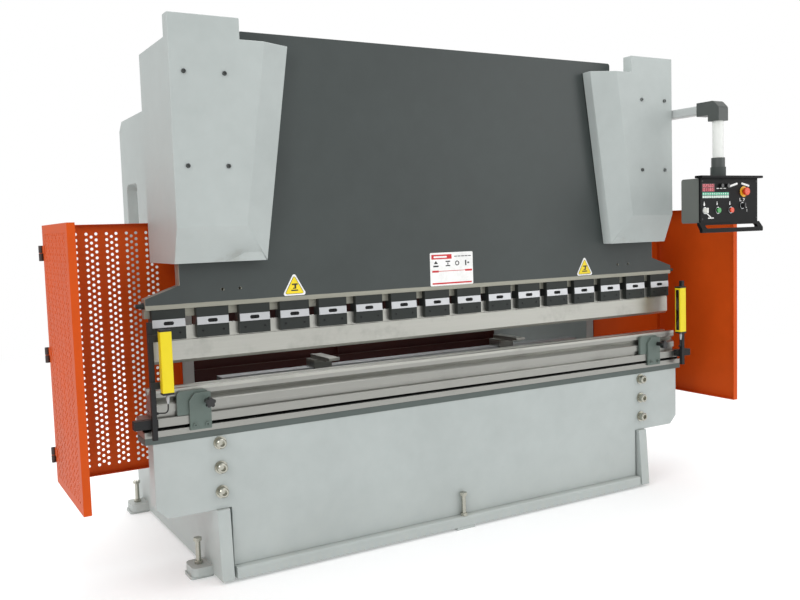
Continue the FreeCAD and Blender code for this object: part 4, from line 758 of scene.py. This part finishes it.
class SoftEdges:
    """Copies of CAD nodes whose edges are rounded by a bevel."""

    room = 2.2  # a face is wide enough if it is so many roundings wide
    weld = 2e-6
    flat = math.radians(0.5)
    rows = tuple(SoftEdge(*row) for row in (
        ("cylinder_cover_left", Body.ROOT, 0.004, 3), ("cylinder_cover_right", Body.ROOT, 0.004, 3),
        ("ram_plate", Body.RAM, 0.003), ("side_frame_left", Body.ROOT, 0.003),
        ("side_frame_right", Body.ROOT, 0.003), ("bed_front_plate", Body.ROOT, 0.003),
        ("base_ledge", Body.ROOT, 0.002), ("table_plate", Body.ROOT, 0.0015),
        ("table_rail", Body.ROOT, 0.0015), ("die_base", Body.ROOT, 0.0015),
        ("oil_tank", Body.ROOT, 0.003), ("electrical_cabinet", Body.ROOT, 0.003),
        ("clamp_bodies", Body.RAM, 0.0015), ("punch", Body.RAM, 0.0008)))

    def build(self, nodes: dict[str, bpy.types.Object], slots: dict[str, str], paints: Paintbox) -> None:
        """Makes each copy and hides its node."""
        for row in self.rows:
            mesh = self.merged(nodes[row.node].data, row)
            mesh.materials.clear()
            piece = bpy.data.objects.new(mesh.name, mesh)
            paints.dress(piece, slots[row.node], row.body)
            bevel = piece.modifiers.new("broken_edges", "BEVEL")
            bevel.width, bevel.segments = row.width, row.segments
            bevel.limit_method = "WEIGHT"
            bevel.use_clamp_overlap = False
            level = piece.modifiers.new("flat_faces", "WEIGHTED_NORMAL")
            level.keep_sharp, level.weight = True, 100
            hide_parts(row.node)
            LOG.info("%s: edges rounded by %.1f mm", row.node, row.width * 1000)

    @staticmethod
    def roomy(loop: bmesh.types.BMLoop, least: float) -> bool:
        """Whether the face's far side is at least so far from the middle of one of its edges.

        Args:
            loop: The edge's loop in the face.
            least: The smallest width, in metres.

        Returns:
            True if no edge that runs the other way is nearer.
        """
        start, end = loop.vert.co, loop.link_loop_next.vert.co
        middle, run = (start + end) / 2, (end - start).normalized()
        for other in loop.face.loops:
            a, b = other.vert.co, other.link_loop_next.vert.co
            if run.dot((b - a).normalized()) > -0.3:
                continue
            share = min(1.0, max(0.0, (middle - a).dot(b - a) / max((b - a).length_squared, 1e-12)))
            if (a.lerp(b, share) - middle).length < least:
                return False
        return True

    @classmethod
    def merged(cls, source: bpy.types.Mesh, row: SoftEdge) -> bpy.types.Mesh:
        """Copy of a node's mesh with whole flat faces, and marks on the edges that have room for the rounding.

        Args:
            source: The node's mesh.
            row: The node's rounding.

        Returns:
            The copy, in which a sharp edge is marked if both its faces are wide enough.
        """
        mesh = source.copy()
        mesh.name = row.node + "_soft"
        work = bmesh.new()
        work.from_mesh(mesh)
        bmesh.ops.remove_doubles(work, verts=work.verts, dist=cls.weld)
        bmesh.ops.dissolve_limit(work, angle_limit=cls.flat, verts=work.verts, edges=work.edges)
        marks = work.edges.layers.float.new("bevel_weight_edge")
        for edge in work.edges:
            sharp = edge.calc_face_angle(0.0) > SHARP_OVER
            if sharp and all(cls.roomy(loop, cls.room * row.width) for loop in edge.link_loops):
                edge[marks] = 1.0
        for edge in work.edges:
            edge.smooth = edge[marks] > 0.0 or edge.calc_face_angle(0.0) < SHARP_OVER
        for face in work.faces:
            face.smooth = True
        work.to_mesh(mesh)
        work.free()
        return mesh


# ---------------------------------------------------------------- signs on the ram
@dataclass(frozen=True)
class RamSigns:
    """Label with a red head and two yellow hazard triangles, stuck to the front of the ram.

    Attributes:
        label: Middle of the label, in X and Z.
        label_size: Width and height of the label.
        triangles: Middle of each triangle, in X and Z.
        triangle_size: Base and height of a triangle.
        film: Thickness of one printed film.
    """

    label: tuple[float, float] = (-0.0025, 1.375)
    label_size: tuple[float, float] = (0.267, 0.172)
    triangles: tuple[tuple[float, float], ...] = ((-0.895, 1.347), (0.908, 1.347))
    triangle_size: tuple[float, float] = (0.126, 0.110)
    film: float = 0.0004

    def build(self, paints: Paintbox) -> None:
        """Makes the films, each layer a little prouder than the one under it."""
        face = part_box("ram_plate")[0][1]
        self.build_label(face, paints)
        self.build_triangles(face, paints)

    def layer(self, face: float, level: int) -> tuple[float, float]:
        """Back and front of the films at a level, where 0 is stuck to the paint."""
        return face + 0.0002 if level == 0 else face - self.film * level, face - self.film * (level + 1)

    def block(self, face: float, level: int, box: tuple[float, float, float, float], corner: float = 0.0008) -> Shape:
        """Film with rounded corners from its left, right, low and high edge on the label."""
        left, right, low, high = box
        middle = (self.label[0] + (left + right) / 2, self.label[1] + (low + high) / 2)
        back, front = self.layer(face, level)
        return face_plate(rounded_box_line(right - left, high - low, corner, 4), middle, back, front, 0.0001)

    def build_label(self, face: float, paints: Paintbox) -> None:
        """White label: red head with a pale bar, four small signs and two red rules."""
        w, h = self.label_size[0] / 2, self.label_size[1] / 2
        self.block(face, 0, (-w, w, -h, h), 0.006).piece("label_film", paints, "label_white", Body.RAM)
        red = [self.block(face, 1, (-w + 0.009, 0.000, h - 0.034, h - 0.010)),
               self.block(face, 1, (-w + 0.012, -w + 0.052, -0.016, -0.006)),
               self.block(face, 1, (w - 0.050, w - 0.006, -0.016, -0.006)),
               self.block(face, 1, (-w + 0.052, w - 0.050, -0.012, -0.009)),
               self.block(face, 1, (-w + 0.012, w - 0.010, -h + 0.008, -h + 0.016))]
        Shape.joined(red).piece("label_red_print", paints, "label_red", Body.RAM)
        pale = self.block(face, 2, (-w + 0.022, -0.030, h - 0.027, h - 0.018), 0.003)
        pale.piece("label_pale_print", paints, "label_white", Body.RAM)
        ink = [self.block(face, 1, (0.016 + 0.022 * i, 0.034 + 0.022 * i, h - 0.024, h - 0.020)) for i in range(5)]
        for i, x in enumerate((-0.098, -0.024, 0.034, 0.096)):
            ink += self.pictogram(face, i, x, 0.028)
        Shape.joined(ink).piece("label_ink_print", paints, "label_ink", Body.RAM)

    def pictogram(self, face: float, kind: int, x: float, z: float) -> list[Shape]:
        """One small plain sign: a press bar over a block, a plate with an arrow, a ring, a spanner bar."""
        back, front = self.layer(face, 1)
        place = (self.label[0] + x, self.label[1] + z)
        if kind == 0:
            return [face_plate(rounded_triangle_line(0.026, 0.016, 0.001), (place[0], place[1] + 0.008), back, front),
                    self.block(face, 1, (x - 0.016, x + 0.016, z - 0.016, z - 0.008))]
        if kind == 1:
            return [self.block(face, 1, (x - 0.014, x + 0.014, z + 0.008, z + 0.014)),
                    self.block(face, 1, (x - 0.003, x + 0.003, z - 0.006, z + 0.006)),
                    self.block(face, 1, (x - 0.014, x + 0.014, z - 0.014, z - 0.008))]
        if kind == 2:
            return [ring(0.008, 0.013, self.film, (place[0], back, place[1]), 28)]
        return [self.block(face, 1, (x - 0.012, x - 0.004, z - 0.014, z + 0.014)),
                self.block(face, 1, (x + 0.002, x + 0.014, z - 0.004, z + 0.004))]

    def build_triangles(self, face: float, paints: Paintbox) -> None:
        """Hazard triangles: white border, thin black line, yellow field and a bar that comes down on a block."""
        base, height = self.triangle_size
        layers = (("hazard_borders", "label_white", 0.0), ("hazard_lines", "label_ink", 0.024),
                  ("hazard_fields", "sign_yellow", 0.032))
        for level, (name, look, inset) in enumerate(layers):
            line = rounded_triangle_line(base - inset, height - inset * 0.87, 0.010 - 0.003 * level)
            films = [face_plate(line, (x, z - inset * 0.15), *self.layer(face, level)) for x, z in self.triangles]
            Shape.joined(films).piece(name, paints, look, Body.RAM)
        back, front = self.layer(face, 3)
        marks = []
        for x, z in self.triangles:
            for width, tall, across, up in ((0.030, 0.007, 0.002, -0.002), (0.009, 0.014, 0.004, -0.012),
                                            (0.018, 0.005, 0.000, -0.021), (0.036, 0.006, 0.000, -0.031)):
                marks.append(face_plate(rounded_box_line(width, tall, 0.002, 4), (x + across, z + up), back, front))
        Shape.joined(marks).piece("hazard_marks", paints, "label_ink", Body.RAM)


# ---------------------------------------------------------------- guard hinges
@dataclass(frozen=True)
class HingeSleeves:
    """Dark sleeve round each knuckle of the guard hinges, and a cap on its pin.

    Attributes:
        x: Distance of a hinge from the machine's middle, in millimetres.
        y: Its place from the tool plane.
        levels: Height of the middle of each hinge.
        half: Half of a hinge's height.
        radius: Radius of a knuckle.
    """

    x: float = 1948.0
    y: float = 394.0
    levels: tuple[float, ...] = (600.0, 1065.0, 1530.0)
    half: float = 35.0
    radius: float = 9.0

    def sleeve(self, low: float, high: float) -> list[tuple[float, float]]:
        """Profile of a sleeve from its lower to its upper end, in metres."""
        r, lip = self.radius / 1000, 0.001
        return [(r - 0.002, low), (r + 0.0004, low), (r + 0.0014, low + lip), (r + 0.0014, high - lip),
                (r + 0.0004, high), (r - 0.002, high)]

    def build(self, paints: Paintbox) -> None:
        """Makes the sleeves: the lower ones stay with the frame, the upper ones turn with the doors."""
        half = self.half / 1000
        for side, door in ((-1, Body.DOOR_LEFT), (1, Body.DOOR_RIGHT)):
            lower, upper = [], []
            for level in self.levels:
                place = at(side * self.x, self.y, level)
                lower.append(turned(self.sleeve(-half, -0.0006), place, Axis.Z, 24))
                upper.append(turned(self.sleeve(0.0014, half), place, Axis.Z, 24))
            Shape.joined(lower).piece(f"hinge_sleeves_{door.value}", paints, "hinge_dark", Body.ROOT)
            Shape.joined(upper).piece(f"hinge_caps_{door.value}", paints, "hinge_dark", door)


# ---------------------------------------------------------------- operator box
@dataclass(frozen=True)
class OperatorFace:
    """Printed front, display, keys, legends and rings of the operator box.

    Attributes:
        middle: X of the box's middle.
        front: Y of its front plate, from the tool plane, in millimetres.
        buttons: X from the middle and Z of each round control with a bright ring, in millimetres.
        stop: X from the middle and Z of the stop knob, in millimetres.
        keys: Number of keys in a row.
        key_pitch: Distance between keys, in millimetres.
        digit_pitch: Distance between digits, in millimetres.
        row_drop: Distance between the rows of digits, in millimetres.
    """

    middle: float = 1530.0
    front: float = -530.0
    buttons: tuple[tuple[float, float], ...] = ((-199, 1638), (-95, 1638), (10, 1638), (105, 1662))
    stop: tuple[float, float] = (116, 1740)
    keys: int = 12
    key_pitch: float = 17.6
    digit_pitch: float = 16.5
    row_drop: float = 21.5

    def plate(self, box: tuple[float, float, float, float], proud: float, thick: float, corner: float = 2.0) -> Shape:
        """Plate on the front from its left, right, low and high edge in millimetres.

        Args:
            box: Edges, with X measured from the box's middle.
            proud: How far its front stands out, in millimetres.
            thick: Its thickness, in millimetres.
            corner: Radius of its corners.

        Returns:
            The plate.
        """
        left, right, low, high = box
        x, y, z = at(self.middle + (left + right) / 2, self.front - proud, (low + high) / 2)
        line = rounded_box_line((right - left) / 1000, (high - low) / 1000, corner / 1000, 5)
        return face_plate(line, (x, z), y + thick / 1000, y, min(0.0006, thick / 3000))

    def build(self, paints: Paintbox) -> None:
        """Makes every part of the face; all of it rides on the box."""
        self.build_front(paints)
        self.build_display(paints)
        self.build_keys(paints)
        self.build_rings(paints)

    def stroke(self, start: tuple[float, float], end: tuple[float, float], wide: float) -> Shape:
        """Printed stroke with round ends between two points of the face, in millimetres."""
        run = np.array(end, float) - start
        length = float(np.hypot(*run))
        line = rounded_box_line((length + wide) / 1000, wide / 1000, wide / 2100, 4)
        turn = np.array([[run[0], run[1]], [-run[1], run[0]]]) / length
        x, y, z = at(self.middle + (start[0] + end[0]) / 2, self.front - 1.0, (start[1] + end[1]) / 2)
        return face_plate(line @ turn, (x, z), y + 0.0008, y, 0.0002)

    def build_front(self, paints: Paintbox) -> None:
        """Pale legends, and a dark screw in each corner."""
        strokes = ((-2, 1769, 60, 1784, 11), (102, 1785, 158, 1772, 11), (-190, 1626, -152, 1600, 6),
                   (-172, 1596, -132, 1596, 6), (-204, 1668, -204, 1674, 11), (-102, 1670, -102, 1676, 7),
                   (1, 1670, 1, 1676, 7), (-204, 1682, -204, 1684, 5), (-102, 1682, -102, 1684, 5),
                   (1, 1682, 1, 1684, 5), (84, 1702, 84, 1688, 4), (84, 1688, 96, 1688, 4),
                   (112, 1702, 124, 1700, 4), (124, 1700, 114, 1688, 4), (130, 1660, 140, 1648, 3),
                   (142, 1640, 144, 1628, 3), (-104, 1758, -88, 1758, 4), (-78, 1758, -62, 1758, 4),
                   (-48, 1758, -32, 1758, 4))
        legend = [self.stroke(line[:2], line[2:4], line[4]) for line in strokes]
        Shape.joined(legend).piece("face_legends", paints, "label_white", Body.PENDANT)
        screws = []
        for x in (-220, 220):
            for z in (1798, 1590):
                place = at(self.middle + x, self.front, z)
                screws.append(turned([(0, 0.001), (0.0055, 0.001), (0.0055, -0.0012), (0.0042, -0.0026),
                                      (0.0016, -0.0028), (0.0013, -0.0014), (0, -0.0014)], place, steps=20))
        Shape.joined(screws).piece("face_screws", paints, "knob_black", Body.PENDANT)

    def build_display(self, paints: Paintbox) -> None:
        """Two crimson windows in a black frame, each with a row of pale digits."""
        self.plate((-224, -122, 1739, 1785), 2.2, 2.4, 3.0).piece("display_frame", paints, "knob_black", Body.PENDANT)
        windows = [self.plate((-220, -126, low, low + 19), 2.8, 0.8, 2.0) for low in (1763.5, 1742)]
        Shape.joined(windows).piece("display_windows", paints, "display_glass", Body.PENDANT)
        digits = []
        for row, text in enumerate(("02500", "01180")):
            for i, figure in enumerate(text):
                digits += self.digit(figure, -212 + i * self.digit_pitch, 1765.5 - row * self.row_drop)
        Shape.joined(digits).piece("display_digits", paints, "lit_red", Body.PENDANT)

    def digit(self, figure: str, left: float, low: float) -> list[Shape]:
        """Seven-segment figure, 9 by 15 mm, from its lit bars."""
        lit = {"0": "abcdef", "1": "bc", "2": "abged", "5": "afgcd", "8": "abcdefg"}[figure]
        bars = {"a": (1, 8, 14, 15), "g": (1, 8, 7, 8), "d": (1, 8, 0, 1), "f": (0, 1, 8, 14),
                "b": (8, 9, 8, 14), "e": (0, 1, 1, 7), "c": (8, 9, 1, 7)}
        return [self.plate((left + bars[key][0], left + bars[key][1], low + bars[key][2], low + bars[key][3]),
                           3.1, 0.4, 0.4) for key in lit]

    def build_keys(self, paints: Paintbox) -> None:
        """Keypad on a dark field: a row of green keys with pale marks over a row of pale ones."""
        self.plate((-222, -4, 1704, 1738), 1.4, 1.6, 3.0).piece("keypad_field", paints, "label_ink", Body.PENDANT)
        for name, look, left, right, low, high, *stand in (
                ("keypad_green", "key_green", -219, -203.6, 1721.5, 1736.5, 3.0, 2.0, 2.5),
                ("keypad_pale", "key_pale", -219, -203.6, 1706, 1719, 3.0, 2.0, 2.5),
                ("keypad_marks", "label_white", -215, -208, 1727, 1731, 3.4, 0.5, 1.5)):
            steps = [self.key_pitch * i for i in range(self.keys)]
            row = [self.plate((left + step, right + step, low, high), *stand) for step in steps]
            Shape.joined(row).piece(name, paints, look, Body.PENDANT)

    def build_rings(self, paints: Paintbox) -> None:
        """Bright ring round each control and the yellow disc behind the stop knob."""
        rings = [ring(0.0158, 0.0185, 0.002, at(self.middle + x, self.front, z)) for x, z in self.buttons]
        Shape.joined(rings).piece("control_rings", paints, "bezel_chrome", Body.PENDANT)
        disc = ring(0.0125, 0.030, 0.0022, at(self.middle + self.stop[0], self.front, self.stop[1]), 48)
        disc.piece("stop_disc", paints, "ring_yellow", Body.PENDANT)


# ---------------------------------------------------------------- light curtains
@dataclass(frozen=True)
class LightCurtains:
    """Yellow bars of the light curtain with their caps, lenses, plugs and short cables.

    Attributes:
        x: Distance of a bar's axis from the machine's middle, in millimetres.
        y: Its place from the tool plane.
        low: Height of its lower end.
        high: Height of its upper end.
        width: Its size in X.
        depth: Its size in Y.
        cable: Diameter of the cable.
        route: Points that the right cable passes, from the plug to the gland on the post.
    """

    x: float = 1553.0
    y: float = -150.0
    low: float = 913.0
    high: float = 1195.0
    width: float = 50.0
    depth: float = 42.0
    cable: float = 0.006
    cable_length: float = 0.0866
    route: tuple[tuple[float, float, float], ...] = (
        (1553, -150, 873), (1553, -150, 856), (1554, -145, 842), (1559, -134, 832), (1566, -121, 829),
        (1575, -111, 829), (1587, -111, 829))

    def build_cables(self, paints: Paintbox) -> None:
        """Hangs each bar's cable: a smooth curve from its plug to the gland."""
        for side, name in ((1, "right"), (-1, "left")):
            curve = bpy.data.curves.new(f"curtain_cable_{name}", "CURVE")
            curve.dimensions = "3D"
            curve.bevel_depth = self.cable / 2
            curve.bevel_resolution = 4
            curve.resolution_u = 8
            curve.use_fill_caps = True
            points = [at(side * x, y, z) for x, y, z in self.route]
            spline = curve.splines.new("NURBS")
            spline.points.add(len(points) - 1)
            for point, place in zip(spline.points, points):
                point.co = (*place, 1.0)
            spline.order_u = 3
            spline.use_endpoint_u = True
            cable = bpy.data.objects.new(f"curtain_cable_{name}", curve)
            paints.dress(cable, "cable_rubber", Body.ROOT)
            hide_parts(f"light_curtain_cable_{name}")
            points[0]
            LOG.info("%s: %.0f mm long", cable.name, self.cable_length * 1000)

    def bar(self, inset: float, levels: list[tuple[float, float]], corner: float = 4.0) -> Shape:
        """Upright form round the right bar's axis, all sizes in millimetres."""
        x, y, _ = at(self.x, self.y, 0)
        heights = [(z / 1000, draw / 1000) for z, draw in levels]
        return upright_bar((self.width - 2 * inset) / 1000, (self.depth - 2 * inset) / 1000, corner / 1000, (x, y),
                           heights)

    @staticmethod
    def both(shapes: list[Shape], name: str, look: str, paints: Paintbox) -> bpy.types.Object:
        """Piece with the shapes on the right and their mirror on the left."""
        pair = shapes + [shape.mirrored() for shape in shapes]
        return Shape.joined(pair).piece(name, paints, look, Body.ROOT)

    def build(self, paints: Paintbox) -> None:
        """Makes the bars and what is on them."""
        low, high = self.low, self.high
        profile = [self.bar(0, [(low + 7, 0), (high - 7, 0)])]
        bars = self.both(profile, "curtain_bars", "curtain_yellow", paints)
        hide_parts("light_curtain_bars")
        caps = [self.bar(-1, [(low, 2), (low + 2, 0), (low + 9, 0), (low + 9.5, 1)]),
                self.bar(-1, [(high - 9.5, 1), (high - 9, 0), (high - 2, 0), (high, 2)])]
        self.both(caps, "curtain_caps", "cap_black", paints)
        x, y, z = at(self.x - self.width / 2, self.y, (low + high) / 2)
        line = rounded_box_line(0.024, (high - low - 40) / 1000, 0.003, 4)
        out, draw = np.array([(0.004, 1.0), (-0.0006, 1.0), (-0.0012, 0.94)]).T[..., None]
        lens = Shape.sweep(x + out, line[:, 0] * draw + y, line[:, 1] * draw ** 0.2 + z)
        self.both([lens], "curtain_lenses", "lens_dark", paints)
        plug = turned([(0, -0.040), (0.0042, -0.040), (0.0048, -0.034), (0.0062, -0.030), (0.0066, -0.020),
                       (0.0075, -0.018), (0.0075, -0.006), (0.0066, -0.004), (0.0066, 0.001), (0, 0.001)],
                      at(self.x, self.y, low), Axis.Z, 24)
        self.both([plug], "curtain_plugs", "plug_grey", paints)


# ---------------------------------------------------------------- studio
LAMPS = (  # name, place, what it is aimed at, size in metres and power in watts
    ("key", (-6.6, -4.2, 4.4), (0, -0.3, 1.3), 3.0, 125.0),
    ("fill", (5.0, -5.5, 3.2), (0, -0.3, 1.2), 3.5, 85.0),
    ("top", (0.0, 0.5, 6.2), (0, 0, 1.0), 5.0, 170.0),
    ("rear", (1.5, 6.5, 4.0), (0, 0.3, 1.2), 4.0, 120.0),
)


@dataclass(frozen=True)
class Studio:
    """Pale floor, soft lights and the camera.

    Attributes:
        eye: Where the camera stands.
        yaw: Degrees that it looks to the right of straight ahead.
        pitch: Degrees that it looks down.
        roll: Degrees that it is turned.
        lens: Focal length on a 36 mm sensor.
        far: Distance at which the floor has become the background.
    """

    eye: tuple[float, float, float] = (-2.5579, -4.3458, 1.5852)
    yaw: float = 29.933
    pitch: float = 4.512
    roll: float = -1.804
    lens: float = 39.96
    far: float = 9.0

    def build_camera(self) -> None:
        """Stands the camera: its axes are worked out from yaw, pitch and roll."""
        yaw, pitch, roll = (math.radians(angle) for angle in (self.yaw, self.pitch, self.roll))
        ahead = Vector((math.sin(yaw) * math.cos(pitch), math.cos(yaw) * math.cos(pitch), -math.sin(pitch)))
        right = Vector((math.cos(yaw), -math.sin(yaw), 0.0))
        up = right.cross(ahead)
        across = right * math.cos(roll) + up * math.sin(roll)
        upright = up * math.cos(roll) - right * math.sin(roll)
        turn = Matrix((across, upright, -ahead)).transposed()
        data = bpy.data.cameras.new("camera")
        data.lens, data.sensor_width, data.sensor_fit = self.lens, 36.0, "HORIZONTAL"
        data.clip_start, data.clip_end = 0.05, 200.0
        camera = bpy.data.objects.new("camera", data)
        camera.matrix_world = Matrix.Translation(self.eye) @ turn.to_4x4()
        bpy.context.scene.collection.objects.link(camera)
        bpy.context.scene.camera = camera

    def build_floor(self) -> None:
        """Round pale floor that fades into the background far from the machine."""
        turn = np.linspace(0, 2 * np.pi, 96, endpoint=False)
        radius = np.array([0.001, 3.0, 8.0, 20.0, 60.0])
        rings = np.stack([radius[:, None] * np.cos(turn), radius[:, None] * np.sin(turn),
                          np.zeros((len(radius), len(turn)))], axis=-1)
        count, size = rings.shape[:2]
        i, j = np.meshgrid(np.arange(count - 1), np.arange(size), indexing="ij")
        k = (j + 1) % size
        quads = np.stack([i * size + j, (i + 1) * size + j, (i + 1) * size + k, i * size + k], axis=-1)
        mesh = bpy.data.meshes.new("floor")
        mesh.from_pydata(rings.reshape(-1, 3).tolist(), [], quads.reshape(-1, 4).tolist() + [list(range(size))])
        floor = bpy.data.objects.new("floor", mesh)
        bpy.context.scene.collection.objects.link(floor)
        material = bpy.data.materials.new("pale_floor")
        material.use_nodes = True
        board = Board(material.node_tree)
        shader, out = material.node_tree.nodes["Principled BSDF"], material.node_tree.nodes["Material Output"]
        where = board.add("TexCoord").outputs["Object"]
        board.wire(shader, {"Base Color": (0.86, 0.86, 0.86, 1), "Roughness": 0.75, "Specular IOR Level": 0.2,
                            "Emission Color": (1, 1, 1, 1), "Emission Strength": 0.22})
        distance = board.add("VectorMath", {0: where}, operation="LENGTH").outputs["Value"]
        glow = board.add("Emission", {"Color": (1.0, 1.0, 1.0, 1.0), "Strength": 1.0})
        mix = board.add("MixShader", {0: board.span(distance, 2.2, self.far), 1: shader.outputs[0],
                                      2: glow.outputs[0]})
        board.feed(out.inputs[0], mix.outputs[0])
        mesh.materials.append(material)

    def build_lights(self) -> None:
        """White surroundings and four large soft lamps."""
        world = bpy.data.worlds.new("surroundings")
        bpy.context.scene.world = world
        world.use_nodes = True
        board = Board(world.node_tree)
        seen = board.add("Background", {"Color": (1, 1, 1, 1), "Strength": 1.0})
        up = board.part(board.add("TexCoord").outputs["Generated"], 2)
        sky = board.blend(board.span(up, -0.15, 0.7), (0.50, 0.50, 0.49), (0.90, 0.91, 0.92))
        lit = board.add("Background", {"Color": sky, "Strength": 0.95})
        ray = board.add("LightPath").outputs["Is Camera Ray"]
        mix = board.add("MixShader", {0: ray, 1: lit.outputs[0], 2: seen.outputs[0]})
        sink = next(node for node in world.node_tree.nodes if node.type == "OUTPUT_WORLD")
        board.feed(sink.inputs[0], mix.outputs[0])
        for name, place, aim, size, power in LAMPS:
            data = bpy.data.lights.new(name, "AREA")
            data.size, data.energy = size, power
            lamp = bpy.data.objects.new(name, data)
            lamp.location = place
            lamp.rotation_euler = (Vector(aim) - Vector(place)).to_track_quat("-Z", "Y").to_euler()
            bpy.context.scene.collection.objects.link(lamp)
        bpy.context.scene.view_settings.view_transform = "Standard"


def dress_nodes(frame: dict, slots: dict[str, str], paints: Paintbox) -> None:
    """Gives every CAD node the material of its record slot."""
    for name, node in frame["nodes"].items():
        for place in node.material_slots:
            place.material = paints[slots[name]]
        if not node.material_slots:
            node.data.materials.append(paints[slots[name]])
    LOG.info("dressed %d CAD nodes", len(frame["nodes"]))


def main() -> None:
    """Builds the looks in order."""
    logging.basicConfig(level=logging.INFO, format="%(name)s: %(message)s")
    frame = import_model()
    paints = Paintbox()
    slots = {row["node"]: row["material_slot"] for row in frame["record"]["subparts"]}
    studio = Studio()
    studio.build_camera()
    curtains = LightCurtains()
    curtains.build_cables(paints)
    studio.build_floor()
    studio.build_lights()
    dress_nodes(frame, slots, paints)
    curtains.build(paints)
    SoftEdges().build(frame["nodes"], slots, paints)
    RamSigns().build(paints)
    HingeSleeves().build(paints)
    OperatorFace().build(paints)


if __name__ == "__main__":
    main()
